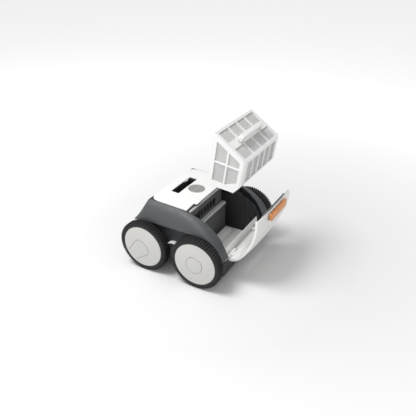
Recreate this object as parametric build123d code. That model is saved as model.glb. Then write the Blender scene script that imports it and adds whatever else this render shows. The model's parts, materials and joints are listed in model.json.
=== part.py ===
from build123d import *
import math
import os

# Four-wheeled robotic pool cleaner, shown open: the front lid is swung down and the debris basket is
# lifted out. Millimetres, +Z up, -Y is the front, +X is the right side. Shapes are drawn in a design
# frame with Z = 0 on the ground, and the last step moves them so that the origin is the base centre.

# ------------------------------------------------------------------ driving sizes: wheels and drive
OUTER_HALF_WIDTH = 198.0       # middle of a hub's crowned face, from the symmetry plane
HUB_CROWN = 4.0                # how far the hub's middle stands out past its rim
WHEEL_RADIUS = 84.4
TYRE_WIDTH = 26.0
TYRE_HEIGHT = 16.4             # from the hub's rim to the tread
TYRE_SHOULDER = 5.0
WHEEL_GAP = 17.2               # between the front and rear tyres
WHEELBASE_MIDDLE = 9.65        # Y halfway between the axles
AXLE_RADIUS = 6.0
RUNNING_CLEARANCE = 0.05       # radial, between a shaft and its bore
WHEEL_TEETH = 70
PINION_TEETH = 23
PRESSURE_ANGLE = 25.0
TOOTH_BACKLASH = 0.35          # taken off each tooth's thickness
GEAR_FACE = 8.0
CAP_RADIUS = 27.0
PINION_SHAFT_RADIUS = 4.0
GUARD_WALL = 2.5

# ------------------------------------------------------------------ driving sizes: body
BAY_HALF_WIDTH = 127.5         # outer face of the tray's side walls
WALL = 3.0
SHELL_TYRE_GAP = 5.0           # side shell's edge to the tyre's inner face
SHELL_RISE = 54.0              # from the side shell's lower edge to its top edge
SHELL_GEAR_GAP = 4.6           # wheel gear tip to the side shell's lower edge
WHEEL_ARCH_GAP = 4.5           # wheel gear tip to the shell's arch over the front wheel
GROUND_CLEARANCE = 16.0
FLOOR_THICKNESS = 4.0
INSERT_THICKNESS = 8.0
FRONT_REACH = 71.0             # body front ahead of the front axle
REAR_REACH = 54.0              # body rear behind the rear axle
PANEL_FRONT = -16.0            # Y of the top panel's front corners
PANEL_REAR = 113.0
PANEL_HALF_WIDTH = 125.0
PANEL_CROWN = 5.0
PANEL_FALL = 7.0               # how much lower the front edge is than the rear
LIP_HALF_WIDTH = 81.0
LIP_REACH = 10.5               # how far the middle of the front edge stands forward
LIP_HEIGHT = 10.0
SLOT_HALF_LENGTH = 57.0
SLOT_FRONT = 54.0
SLOT_REAR = 82.0
POCKET_DEPTH = 30.0
OUTLET_RADIUS = 27.0
OUTLET_Y = 23.0
UNIT_FRONT = -22.0             # Y of the power unit's front face
UNIT_REAR = 112.0
UNIT_HALF_WIDTH = 117.0
UNIT_TOP = 122.0
LEDGE_DEPTH = 14.5
LEDGE_HEIGHT = 8.0
COVER_FRONT = -7.0             # Y of the pump cover's front wall
SILL_TOP = 108.0
SILL_EDGE = -136.0             # Y of the bay's front limit, at the sill's inner face
SILL_NOSE = 16.0               # how far the sill's nose reaches below the hinge line
SILL_HALF_WIDTH = 112.0
MOUTH_HALF_LENGTH = 84.0
MOUTH_FRONT = -58.0
MOUTH_REAR = -42.0
DUCT_TOP = 50.0
FLAP_PIN_RADIUS = 0.8
FLAP_BARREL_RADIUS = 1.5
RIB_PITCH = 17.0
RIB_DEPTH = 1.5

# ------------------------------------------------------------------ driving sizes: lid and latch
HINGE_Y = -150.0
HINGE_Z = 82.0
HINGE_PIN_RADIUS = 3.0
KNUCKLE_RADIUS = 6.5
KNUCKLE_PLACES = (-91.0, 91.0)
KNUCKLE_HALF = 9.0
EAR_SPANS = ((62.0, 81.5), (100.5, 112.0))    # each side's two ears, measured from the middle
LID_HALF_WIDTH = 119.5
LID_WALL = 2.5
LID_FLANGE = 7.0
LID_CROWN = 6.0
LID_PROUD = 3.0                # closed lid's free edge above the side shells' top edge
LID_GAP = 3.5                  # closed lid's free edge to the panel's lip
LID_OPEN_ANGLE = 72.0
LID_CORNER = 22.0
LATCH_LENGTH = 114.0
LATCH_WIDTH = 25.0
LATCH_HEIGHT = 7.0
LATCH_PIN_RADIUS = 1.5
LATCH_STAND_OFF = 1.6          # lever's underside above the lid's skin
LATCH_PIN_HEIGHT = 4.5
LATCH_PIN_EDGE = 4.0           # pin's distance from the lever's lower edge

# ------------------------------------------------------------------ driving sizes: basket
BASKET_HALF_WIDTH = 113.5
BASKET_UNIT_GAP = 5.0          # to the power unit's face
BASKET_SILL_GAP = 8.0          # to the sill
BASKET_FLOOR_GAP = 6.0
BASKET_LIP_GAP = 8.0
BASKET_SLOPE = 27.4            # slope of its top face, degrees
BASKET_WALL = 3.0
MESH_THICKNESS = 0.8
RIB_WIDTH = 5.0
RIM_WIDTH = 14.0
CROSSBAR_WIDTH = 24.0
HANDLE_LENGTH = 130.0
HANDLE_WIDTH = 12.0
HANDLE_RISE = 20.0
HANDLE_PIN_RADIUS = 2.5
PIVOT_HEIGHT = 7.0             # handle pins above the basket's top face
BASKET_LIFT = 275.6
LIFT_LEAN = 15.3               # lift direction leans forward from vertical, degrees
BASKET_TILT = 8.0
DOOR_THICKNESS = 3.0
DOOR_GAP = 0.6
DOOR_BARREL_RADIUS = 1.5
DOOR_HINGE_SET_BACK = 23.0     # door's front edge behind the basket's front
FIT_GAP = 0.4                  # between parts that only sit side by side

# ------------------------------------------------------------------ driving sizes: inner parts
MOTOR_RADIUS = 30.0
MOTOR_HEIGHT = 78.0
PUMP_SHAFT_RADIUS = 3.0
DUCT_RADIUS = 22.0
IMPELLER_RADIUS = 19.0
IMPELLER_BLADES = 5
IMPELLER_HEIGHT = 16.0
IMPELLER_RAISE = 56.0          # its lower face above the power unit's top
DRIVE_MOTOR_RADIUS = 19.0
DRIVE_MOTOR_LENGTH = 52.0
GLAND_BORE_RADIUS = 4.5
GLAND_RADIUS = 9.0
GLAND_Z = 126.0
SCREW_RADIUS = 2.0

# ------------------------------------------------------------------ places worked out from them
WHEELBASE = 2 * WHEEL_RADIUS + WHEEL_GAP
MODULE = WHEELBASE / (WHEEL_TEETH + PINION_TEETH)
AXLE_Z = WHEEL_RADIUS
FRONT_AXLE_Y = WHEELBASE_MIDDLE - WHEELBASE / 2
REAR_AXLE_Y = WHEELBASE_MIDDLE + WHEELBASE / 2
GEAR_TIP = MODULE * (WHEEL_TEETH / 2 + 1)
HUB_RADIUS = WHEEL_RADIUS - TYRE_HEIGHT
TYRE_OUTER = OUTER_HALF_WIDTH - HUB_CROWN
TYRE_INNER = TYRE_OUTER - TYRE_WIDTH
SHELL_HALF_WIDTH = TYRE_INNER - SHELL_TYRE_GAP
SHELL_EDGE_Z = AXLE_Z + GEAR_TIP + SHELL_GEAR_GAP
SHELL_TOP_Z = SHELL_EDGE_Z + SHELL_RISE
PLATE_OUTER = TYRE_INNER - GEAR_FACE - 7.0
BODY_FRONT = FRONT_AXLE_Y - FRONT_REACH
BODY_REAR = REAR_AXLE_Y + REAR_REACH
TRAY_TOP_Z = SHELL_EDGE_Z - WALL
FLOOR_Z = GROUND_CLEARANCE + 2 * FLOOR_THICKNESS
INSERT_TOP = FLOOR_Z + INSERT_THICKNESS
PANEL_FRONT_Z = SHELL_TOP_Z - 2.0
LIP_BOTTOM_Z = PANEL_FRONT_Z - LIP_HEIGHT
ARCH_FRONT = BODY_FRONT + 0.5
ARCH_SILL_Z = SILL_TOP - 11.0
ARCH_TOP_Y = PANEL_FRONT + 2.4
BASKET_REAR = UNIT_FRONT - BASKET_UNIT_GAP
BASKET_FRONT = SILL_EDGE + BASKET_SILL_GAP
BASKET_DEPTH = BASKET_REAR - BASKET_FRONT
BASKET_BOTTOM = INSERT_TOP + BASKET_FLOOR_GAP
BASKET_TOP = LIP_BOTTOM_Z - BASKET_LIP_GAP
TAN_SLOPE = math.tan(math.radians(BASKET_SLOPE))
DRIVE_MOTOR_END = UNIT_HALF_WIDTH - WALL - 1.0
IMPELLER_Z = UNIT_TOP + IMPELLER_RAISE


# ------------------------------------------------------------------ small drawing helpers
def block(low, high):
    """A box between two corners."""
    size = [b - a for a, b in zip(low, high)]
    middle = [(a + b) / 2 for a, b in zip(low, high)]
    return Pos(*middle) * Box(*size)


def prism(points, x0, x1):
    """A Y-Z outline, in either order, run from x0 to x1."""
    turns = sum(a[0] * b[1] - b[0] * a[1] for a, b in zip(points, points[1:] + points[:1]))
    ordered = points if turns > 0 else points[::-1]
    return extrude(Plane.YZ.offset(x0) * Polygon(*ordered, align=None), amount=x1 - x0)


def rod_x(radius, x0, x1, y, z):
    """A round bar along X."""
    return Pos((x0 + x1) / 2, y, z) * Rot(0, 90, 0) * Cylinder(radius, abs(x1 - x0))


def rod_z(radius, z0, z1, x, y):
    """A round bar along Z."""
    return Pos(x, y, (z0 + z1) / 2) * Cylinder(radius, z1 - z0)


def right_and_left(shape):
    """A right-hand piece and its mirror image."""
    return shape, mirror(shape, about=Plane.YZ)


def group(*shapes):
    """Separate solids kept together as one node."""
    solids = [s for shape in shapes for s in shape.solids()]
    return Compound(solids)


def mix(a, b, share):
    """A value part of the way from a to b."""
    return a + (b - a) * share


# ------------------------------------------------------------------ the body's side outline
ARCH_SHAPE = ((-0.007, 0.113), (0.146, 0.442), (0.477, 0.806), (1.0, 1.0))


def arch_points(inset=0.0):
    """Body outline in Y-Z from the front tip up to the panel, moved inwards by inset."""
    points = []
    for along, up in ARCH_SHAPE:
        y = mix(ARCH_FRONT, ARCH_TOP_Y, along)
        z = mix(ARCH_SILL_Z, SHELL_TOP_Z - 2.0, up)
        lean = math.atan2(up + 0.25, 1.35 - along)
        points.append((y + inset * math.cos(lean), z - inset * math.sin(lean)))
    return points


def rear_points(inset=0.0):
    """Body outline in Y-Z from the panel's rear edge down the back."""
    top = SHELL_TOP_Z + PANEL_FALL - 3.0
    return [
        (PANEL_REAR + 2.0 - inset * 0.5, top - inset),
        (BODY_REAR - 15.0 - inset, mix(SHELL_EDGE_Z, top, 0.24)),
        (BODY_REAR - inset, SHELL_EDGE_Z - 12.0),
    ]


# ------------------------------------------------------------------ gears and wheels
def involute_flank(teeth):
    """Radius and half-angle of one tooth at its root, pitch line and tip."""
    pitch = MODULE * teeth / 2
    base = pitch * math.cos(math.radians(PRESSURE_ANGLE))
    at_pitch = math.tan(math.radians(PRESSURE_ANGLE)) - math.radians(PRESSURE_ANGLE)
    half_thickness = (math.pi * MODULE / 2 - TOOTH_BACKLASH) / 2
    flank = []
    for radius in (pitch - 1.25 * MODULE, pitch, pitch + 0.95 * MODULE):
        pressure = math.acos(min(1.0, base / max(radius, base)))
        half = half_thickness / pitch + at_pitch - (math.tan(pressure) - pressure)
        flank.append((radius, half))
    return flank


def gear_disc(teeth, turn, x0, x1):
    """A spur gear about the X axis; turn is the first tooth's angle from +Y in radians."""
    flank = involute_flank(teeth)
    points = []
    for tooth in range(teeth):
        middle = turn + 2 * math.pi * tooth / teeth
        rising = [(r, middle - half) for r, half in flank]
        falling = [(r, middle + half) for r, half in reversed(flank)]
        points += [(r * math.cos(a), r * math.sin(a)) for r, a in rising + falling]
    return prism(points, x0, x1)


def wheel_gear(turn):
    """The wheel's inboard gear disc, about the X axis, which also closes the hub."""
    x0 = TYRE_INNER - GEAR_FACE
    gear = gear_disc(WHEEL_TEETH, turn, x0, TYRE_INNER)
    return gear - rod_x(AXLE_RADIUS + RUNNING_CLEARANCE, x0 - 1, TYRE_INNER + 1, 0, 0)


def tyre():
    """Rubber tyre about the X axis, with rounded shoulders."""
    width = TYRE_OUTER - TYRE_INNER
    middle = Pos((TYRE_OUTER + TYRE_INNER) / 2, WHEEL_RADIUS - TYRE_HEIGHT / 2)
    section = middle * Rectangle(width, TYRE_HEIGHT)
    shoulders = section.vertices().sort_by(Axis.Y)[2:]
    return revolve(fillet(shoulders, TYRE_SHOULDER), axis=Axis.X)


def crown_x(radius):
    """X of the hub's crowned face at a radius: part of a sphere centred on the axle."""
    sphere = (HUB_RADIUS**2 / HUB_CROWN + HUB_CROWN) / 2
    return OUTER_HALF_WIDTH - sphere + math.sqrt(sphere**2 - radius**2)


def crown_arc(r0, r1):
    """Part of the crowned face's section between two radii."""
    middle = (r0 + r1) / 2
    return ThreePointArc((crown_x(r0), r0), (crown_x(middle), middle), (crown_x(r1), r1))


def hub():
    """Light hub about the X axis: crowned disc, rim, bearing boss and a round seat for its cap."""
    disc_inner = TYRE_OUTER - WALL
    seat_x = TYRE_OUTER + 0.5
    seat_radius = CAP_RADIUS + FIT_GAP
    boss = AXLE_RADIUS + 6.0
    bore = AXLE_RADIUS + RUNNING_CLEARANCE
    inside = Polyline(
        (crown_x(seat_radius), seat_radius), (seat_x, seat_radius), (seat_x, 0), (disc_inner, 0),
        (disc_inner, bore),
        (TYRE_INNER, bore), (TYRE_INNER, boss), (disc_inner, boss), (disc_inner, HUB_RADIUS - WALL),
        (TYRE_INNER, HUB_RADIUS - WALL), (TYRE_INNER, HUB_RADIUS), (TYRE_OUTER, HUB_RADIUS),
    )
    return revolve(make_face(crown_arc(HUB_RADIUS, seat_radius) + inside), axis=Axis.X)


def hub_cap():
    """Crowned cap that fills the seat in the hub."""
    seat_x = TYRE_OUTER + 0.5
    edge = Polyline((crown_x(0), 0), (seat_x, 0), (seat_x, CAP_RADIUS), (crown_x(CAP_RADIUS), CAP_RADIUS))
    return revolve(make_face(crown_arc(CAP_RADIUS, 0) + edge), axis=Axis.X)


def wheel_parts(axle_y, half_tooth):
    """The right-hand wheel on one axle, as a dictionary of its pieces."""
    turn = math.pi / WHEEL_TEETH if half_tooth else 0.0
    place = Pos(0, axle_y, AXLE_Z)
    return {
        "tyre": place * tyre(),
        "hub": place * hub(),
        "hub_cap": place * hub_cap(),
        "wheel_gear": place * wheel_gear(turn),
    }


def pinion():
    """Right-hand drive pinion on its motor shaft, in mesh with both wheel gears."""
    gap_to_front = math.pi - math.pi / PINION_TEETH
    x0 = TYRE_INNER - GEAR_FACE
    gear = gear_disc(PINION_TEETH, gap_to_front, x0, TYRE_INNER - 1.0)
    shaft = rod_x(PINION_SHAFT_RADIUS, DRIVE_MOTOR_END - 14.0, TYRE_INNER - 1.0, 0, 0)
    return Pos(0, WHEELBASE_MIDDLE, AXLE_Z) * (gear + shaft)


def gear_guard():
    """White arc cap over the right-hand pinion."""
    inner = MODULE * (PINION_TEETH / 2 + 1) + 2.0
    x1 = TYRE_INNER - 0.5
    ring = rod_x(inner + GUARD_WALL, PLATE_OUTER, x1, 0, 0) - rod_x(inner, PLATE_OUTER - 1, x1 + 1, 0, 0)
    reach = inner * 2
    half_span = math.radians(40)
    corner = (reach * math.sin(half_span), reach * math.cos(half_span))
    wedge = prism([(0, 0), corner, (-corner[0], corner[1])], PLATE_OUTER - 1, x1 + 1)
    return Pos(0, WHEELBASE_MIDDLE, AXLE_Z) * (ring & wedge)


def drive_motor():
    """Right-hand drive motor with the bearing nose that carries the pinion's shaft."""
    start = DRIVE_MOTOR_END - DRIVE_MOTOR_LENGTH
    y, z = WHEELBASE_MIDDLE, AXLE_Z
    can = rod_x(DRIVE_MOTOR_RADIUS, start, DRIVE_MOTOR_END, y, z)
    bore = rod_x(PINION_SHAFT_RADIUS + RUNNING_CLEARANCE, DRIVE_MOTOR_END - 15, DRIVE_MOTOR_END + 1, y, z)
    return can - bore


# ------------------------------------------------------------------ chassis
def tray_outline():
    """Side view of the tray's walls."""
    front = HINGE_Y + 6.0
    rear = BODY_REAR - WALL - 11.0
    low = GROUND_CLEARANCE + FLOOR_THICKNESS
    return [
        (front, low), (rear, low), (rear, TRAY_TOP_Z - 8.0), (rear - 8.0, TRAY_TOP_Z),
        (FRONT_AXLE_Y - 12.0, TRAY_TOP_Z), (front + 16.0, TRAY_TOP_Z - 20.0), (front, SILL_TOP - 2.0),
    ]


def mouth(z0, z1, margin=0.0):
    """The suction mouth's space between two heights."""
    return block(
        (-MOUTH_HALF_LENGTH - margin, MOUTH_FRONT - margin, z0),
        (MOUTH_HALF_LENGTH + margin, MOUTH_REAR + margin, z1),
    )


def axle_seats(radius, x0, x1):
    """Round bars at the four axle places."""
    bars = [rod_x(radius, side * x0, side * x1, y, AXLE_Z)
            for side in (1, -1) for y in (FRONT_AXLE_Y, REAR_AXLE_Y)]
    return bars


def screw_places():
    """Where the bottom plate is screwed up into the tray."""
    rows = (FRONT_AXLE_Y - 30.0, MOUTH_REAR + 30.0, REAR_AXLE_Y + 20.0)
    return [(x, y) for x in (-100.0, 100.0) for y in rows]


def chassis_tray():
    """Open-topped tray with axle bosses on its side walls."""
    outline = tray_outline()
    front, rear = outline[0][0], outline[1][0]
    low = GROUND_CLEARANCE + FLOOR_THICKNESS
    body = prism(outline, -BAY_HALF_WIDTH, BAY_HALF_WIDTH)
    body -= block((-BAY_HALF_WIDTH + WALL, front + WALL, FLOOR_Z), (BAY_HALF_WIDTH - WALL, rear - WALL, 999))
    inside = BAY_HALF_WIDTH - WALL
    body -= block((-inside, front - 1, HINGE_Z - SILL_NOSE), (inside, front + WALL + 1, 999))
    gland = GLAND_RADIUS + 6
    body -= block((-gland, rear - WALL - 1, GLAND_Z - gland), (gland, rear + 1, GLAND_Z + gland))
    body -= mouth(low - 1, FLOOR_Z + 1)
    for boss in axle_seats(AXLE_RADIUS + 8.0, BAY_HALF_WIDTH, PLATE_OUTER - WALL):
        body += boss
    for bore in axle_seats(AXLE_RADIUS, BAY_HALF_WIDTH, PLATE_OUTER):
        body -= bore
    for x, y in screw_places():
        body -= rod_z(SCREW_RADIUS, low - 1, FLOOR_Z + 1, x, y)
    reach = BAY_HALF_WIDTH + 1
    return body - rod_x(PINION_SHAFT_RADIUS + 2, -reach, reach, WHEELBASE_MIDDLE, AXLE_Z)


def bottom_plate():
    """Flat service plate under the tray, with the suction mouth and screw holes."""
    low, high = GROUND_CLEARANCE, GROUND_CLEARANCE + FLOOR_THICKNESS
    plate = block((-BAY_HALF_WIDTH + 8, SILL_EDGE + 6, low), (BAY_HALF_WIDTH - 8, BODY_REAR - 20, high))
    plate = fillet(plate.edges().filter_by(Axis.Z), 12.0) - mouth(low - 1, high + 1)
    for x, y in screw_places():
        plate -= rod_z(SCREW_RADIUS, low - 1, high + 1, x, y)
        plate -= rod_z(2 * SCREW_RADIUS, low - 1, low + SCREW_RADIUS, x, y)
    return plate


def body_screws():
    """Six countersunk screws that hold the bottom plate."""
    low = GROUND_CLEARANCE
    screws = [rod_z(SCREW_RADIUS, low, FLOOR_Z, x, y) + rod_z(2 * SCREW_RADIUS, low, low + SCREW_RADIUS, x, y)
              for x, y in screw_places()]
    return group(*screws)


def wheel_axles():
    """Four steel stub axles pressed into the tray's bosses."""
    return group(*axle_seats(AXLE_RADIUS, BAY_HALF_WIDTH, TYRE_OUTER - WALL - 1.0))


def floor_insert():
    """Light floor of the basket bay."""
    half = BAY_HALF_WIDTH - 8
    plate = block((-half, SILL_EDGE + 2, FLOOR_Z), (half, UNIT_FRONT - 1, INSERT_TOP))
    return plate - mouth(FLOOR_Z - 1, INSERT_TOP + 1)


def intake_duct():
    """Raised intake that feeds the basket through its door."""
    wall = WALL
    low = (-MOUTH_HALF_LENGTH - wall, MOUTH_FRONT - wall, INSERT_TOP)
    high = (MOUTH_HALF_LENGTH + wall, MOUTH_REAR + wall, DUCT_TOP)
    body = block(low, high)
    body = fillet(body.edges().filter_by(Axis.Z), 2.0)
    for side in (1, -1):
        inner, outer = sorted((side * 30.0, side * 34.0))
        body += block((inner, MOUTH_REAR, INSERT_TOP), (outer, UNIT_FRONT - 1.5, BASKET_BOTTOM - 2))
    body -= mouth(INSERT_TOP - 1, DUCT_TOP + 1)
    y, z = flap_hinge()
    reach = FLAP_BARREL_RADIUS
    for side in (1, -1):
        inner, outer = sorted((side * (MOUTH_HALF_LENGTH + 1 + FIT_GAP), side * (MOUTH_HALF_LENGTH + wall)))
        body += block((inner, y - reach, DUCT_TOP - 3), (outer, y + reach, z + reach))
        body += rod_x(FLAP_PIN_RADIUS, side * (MOUTH_HALF_LENGTH - 5), side * (MOUTH_HALF_LENGTH + 2), y, z)
    return body


def flap_hinge():
    """Y and Z of the intake flap's hinge line."""
    return MOUTH_REAR + 1.0, DUCT_TOP + 2.3


def intake_flap():
    """Thin flap on a hinge barrel that closes the intake when the pump is off."""
    half = MOUTH_HALF_LENGTH + 1
    y, z = flap_hinge()
    plate = block((-half, MOUTH_FRONT - 1, DUCT_TOP + 0.3), (half, y, z))
    front_corners = plate.edges().filter_by(Axis.Z).group_by(Axis.Y)[0]
    plate = fillet(front_corners, 2.0) + rod_x(FLAP_BARREL_RADIUS, -half, half, y, z)
    return plate - rod_x(FLAP_PIN_RADIUS + RUNNING_CLEARANCE, -half - 1, half + 1, y, z)


def wheel_well_plate():
    """Right-hand dark wall between the body and the wheels."""
    low = GROUND_CLEARANCE + 12.0
    top = TRAY_TOP_Z
    outline = [
        (FRONT_AXLE_Y - 44, low), (REAR_AXLE_Y + 36, low), (BODY_REAR - 6, low + 40),
        (BODY_REAR - 4, top - 24), (BODY_REAR - 18, top), (FRONT_AXLE_Y - 8, top),
        (BODY_FRONT + 26, top - 16), (BODY_FRONT + 8, top - 38), (BODY_FRONT + 3, ARCH_SILL_Z),
        (BODY_FRONT + 10, low + 34),
    ]
    plate = prism(outline, PLATE_OUTER - WALL, PLATE_OUTER)
    for y in (FRONT_AXLE_Y, REAR_AXLE_Y):
        plate -= rod_x(AXLE_RADIUS + FIT_GAP, PLATE_OUTER - WALL - 1, PLATE_OUTER + 1, y, AXLE_Z)
    hole = rod_x(PINION_SHAFT_RADIUS + 2, PLATE_OUTER - WALL - 1, PLATE_OUTER + 1, WHEELBASE_MIDDLE, AXLE_Z)
    return plate - hole


# ------------------------------------------------------------------ outer shells
def side_region(inset):
    """Side outline of the shell's outside, moved inwards by inset."""
    arch = arch_points(inset)
    rear = rear_points(inset)
    tip = (BODY_FRONT - 6.0 + inset, ARCH_SILL_Z - 4.0)
    low = (0.0, ARCH_SILL_Z - 4.0)
    return [(BODY_REAR - inset, SHELL_EDGE_Z), *reversed(rear[:2]), *reversed(arch), tip, low]


def shell_cross_section(inset):
    """Front view of the right-hand shell, from its top edge out to its lower edge."""
    inner, outer, top = BAY_HALF_WIDTH - inset, SHELL_HALF_WIDTH - inset, SHELL_TOP_Z + PANEL_FALL - inset
    curve = ThreePointArc(
        (inner, top), (mix(inner, outer, 0.62), mix(SHELL_EDGE_Z, top, 0.62)), (outer, SHELL_EDGE_Z - 1)
    )
    closing = Polyline((outer, SHELL_EDGE_Z - 1), (outer, 0), (inner, 0), (inner, top))
    return make_face(curve + closing)


def shell_solid(inset):
    """Filled shape of the right-hand shell, moved inwards by inset."""
    side = prism(side_region(inset), BAY_HALF_WIDTH - inset, SHELL_HALF_WIDTH)
    front = extrude(Plane.XZ * shell_cross_section(inset), amount=400, both=True)
    return side & front


def side_shell():
    """Right-hand dark side shell, open below, arched over the front wheel."""
    shell = shell_solid(0.0) - shell_solid(WALL)
    arch_radius = GEAR_TIP + WHEEL_ARCH_GAP
    shell -= rod_x(arch_radius, BAY_HALF_WIDTH - 5, SHELL_HALF_WIDTH + 5, FRONT_AXLE_Y, AXLE_Z)
    rear_cut = block((0, FRONT_AXLE_Y, 0), (SHELL_HALF_WIDTH + 5, BODY_REAR + 9, SHELL_EDGE_Z))
    shell = shell - rear_cut
    return max(shell.solids(), key=lambda solid: solid.volume)


def rear_shell():
    """Dark back wall between the side shells, with the hole for the cable gland."""
    low = GROUND_CLEARANCE + 12.0
    half = BAY_HALF_WIDTH - FIT_GAP
    top = rear_points()
    foot = [(BODY_REAR, low + 30), (BODY_REAR - 8, low), (PANEL_REAR - 6, low)]
    outside = prism([(PANEL_REAR - 6, top[0][1] - 8), *top, *foot], -half, half)
    top = rear_points(WALL)
    foot = [(BODY_REAR - WALL, low + 30), (BODY_REAR - 8 - WALL, low), (PANEL_REAR - 50, low - 9)]
    inside = prism([(PANEL_REAR - 50, top[0][1]), *top, *foot], -half - 9, half + 9)
    hole_radius = GLAND_RADIUS - 2 + RUNNING_CLEARANCE
    hole = Pos(0, BODY_REAR, GLAND_Z) * Rot(90, 0, 0) * Cylinder(hole_radius, 60)
    wall = outside - inside - hole
    return max(wall.solids(), key=lambda solid: solid.volume)


def gland_ring(outer, inner, y0, y1):
    """A ring along Y at the cable outlet."""
    ring = Cylinder(outer, y1 - y0) - Cylinder(inner, y1 - y0 + 2)
    return Pos(0, (y0 + y1) / 2, GLAND_Z) * Rot(90, 0, 0) * ring


def cable_gland():
    """Cable gland through the rear shell, with its bore clear for a lead."""
    face = BODY_REAR
    neck = gland_ring(GLAND_RADIUS - 2, GLAND_BORE_RADIUS, face - WALL - 10, face)
    return neck + gland_ring(GLAND_RADIUS, GLAND_BORE_RADIUS, face, face + 8)


def gland_nut():
    """Hexagon nut inside the rear shell."""
    nut = extrude(RegularPolygon(GLAND_RADIUS + 3, 6), 5) - Cylinder(GLAND_RADIUS - 2, 20)
    return Pos(0, BODY_REAR - WALL, GLAND_Z) * Rot(90, 0, 0) * nut


# ------------------------------------------------------------------ top panel
def panel_band(top_drop, thickness):
    """Crowned band from the panel's front lip to its rear edge."""
    edge = -top_drop
    top = ThreePointArc((-PANEL_HALF_WIDTH, edge), (0, edge + PANEL_CROWN), (PANEL_HALF_WIDTH, edge))
    low = edge - thickness
    under = ThreePointArc((PANEL_HALF_WIDTH, low), (0, low + PANEL_CROWN), (-PANEL_HALF_WIDTH, low))
    sides = [Line((s * PANEL_HALF_WIDTH, edge), (s * PANEL_HALF_WIDTH, low)) for s in (1, -1)]
    section = make_face(Curve() + [top, under, *sides])
    front = PANEL_FRONT - LIP_REACH
    length = PANEL_REAR - front
    place = Plane(origin=(0, front, PANEL_FRONT_Z), x_dir=(1, 0, 0), z_dir=(0, -1, 0))
    return extrude(place * section, amount=math.hypot(length, PANEL_FALL), dir=(0, length, PANEL_FALL))


def panel_outline():
    """Top view of the panel: a wide plate with a lip standing forward in the middle."""
    depth = PANEL_REAR - PANEL_FRONT
    plate = Pos(0, (PANEL_REAR + PANEL_FRONT) / 2) * Rectangle(2 * PANEL_HALF_WIDTH - 1, depth)
    rear = plate.vertices().sort_by(Axis.Y)[2:]
    plate = fillet(rear, 25.0)
    lip = Pos(0, PANEL_FRONT - LIP_REACH / 2 + 2) * Rectangle(2 * LIP_HALF_WIDTH, LIP_REACH + 4)
    lip_corners = lip.vertices().sort_by(Axis.Y)[:2]
    return plate + fillet(lip_corners, 5.0)


def slot_space(margin, z0, z1):
    """The hand slot's space, grown by margin."""
    half = SLOT_HALF_LENGTH + margin
    return block((-half, SLOT_FRONT - margin, z0), (half, SLOT_REAR + margin, z1))


def top_panel():
    """White top panel with its hand slot, outlet hole and front lip."""
    panel = panel_band(0.0, WALL) & extrude(panel_outline(), 400)
    face = block(
        (-LIP_HALF_WIDTH + 5, PANEL_FRONT - LIP_REACH, LIP_BOTTOM_Z + PANEL_CROWN),
        (LIP_HALF_WIDTH - 5, PANEL_FRONT - LIP_REACH + WALL, PANEL_FRONT_Z + 0.5),
    )
    panel = panel + face - slot_space(0.0, 100, 300)
    return panel - rod_z(OUTLET_RADIUS + FIT_GAP, 100, 300, 0, OUTLET_Y)


def panel_z(y):
    """Height of the panel's top on the symmetry plane."""
    front = PANEL_FRONT - LIP_REACH
    return PANEL_FRONT_Z + PANEL_CROWN + PANEL_FALL * (y - front) / (PANEL_REAR - front)


def outlet_grille():
    """Round grey grille over the pump outlet, with curved rows of slots."""
    top = panel_z(OUTLET_Y) - 1.0
    disc = rod_z(OUTLET_RADIUS, top - 4, top, 0, OUTLET_Y)
    for radius in (7.0, 14.0, 21.0):
        ring = rod_z(radius + 1.2, top - 9, top + 9, 0, OUTLET_Y)
        ring -= rod_z(radius - 1.2, top - 9, top + 9, 0, OUTLET_Y)
        bars = Pos(0, OUTLET_Y, top) * (Box(60, 3, 30) + Box(3, 60, 30))
        disc -= ring - bars
    return disc


def hand_pocket():
    """Dark pocket under the hand slot."""
    top = PANEL_FRONT_Z + 2.0
    outer = slot_space(WALL, top - POCKET_DEPTH, top)
    return outer - slot_space(0.0, top - POCKET_DEPTH + 2.5, top + 40)


def lip_seal_rail():
    """Light seal rail under the panel's front lip."""
    return block(
        (-BAY_HALF_WIDTH + 14, PANEL_FRONT - LIP_REACH + WALL + 1, LIP_BOTTOM_Z - 3),
        (BAY_HALF_WIDTH - 14, PANEL_FRONT - LIP_REACH + WALL + 7, LIP_BOTTOM_Z + 2),
    )


# ------------------------------------------------------------------ bay liners, sill
def bay_liner():
    """Right-hand ribbed liner of the basket bay."""
    x0, x1 = BAY_HALF_WIDTH - WALL - 4.4, BAY_HALF_WIDTH - WALL - FIT_GAP
    drop = LID_FLANGE + 13.0
    low_arch, high_arch = [(y + 0.5 * drop, z - drop) for y, z in arch_points()[1:3]]
    top = LIP_BOTTOM_Z - 8
    outline = [
        (UNIT_FRONT - 1, FLOOR_Z), (UNIT_FRONT - 1, top), (PANEL_FRONT - 20, top), high_arch,
        (low_arch[0] + 2, low_arch[1]), (SILL_EDGE + 2, SILL_TOP), (SILL_EDGE + 2, FLOOR_Z),
    ]
    liner = prism(outline, x0 + 1.4, x1)
    liner -= block((0, -200, FLOOR_Z - 1), (BAY_HALF_WIDTH - 8 + FIT_GAP, 0, INSERT_TOP))
    count = int((UNIT_FRONT - SILL_EDGE - 12) / RIB_PITCH)
    for number in range(count):
        y = SILL_EDGE + 8 + number * RIB_PITCH
        along = (y - low_arch[0]) / (high_arch[0] - low_arch[0])
        rib_top = max(min(mix(low_arch[1], high_arch[1], along), top) - 2, SILL_TOP - 4)
        liner += block((x0 + 1.4 - RIB_DEPTH, y, INSERT_TOP + 1), (x0 + 1.4, y + RIB_PITCH / 2, rib_top))
    return liner


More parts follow.
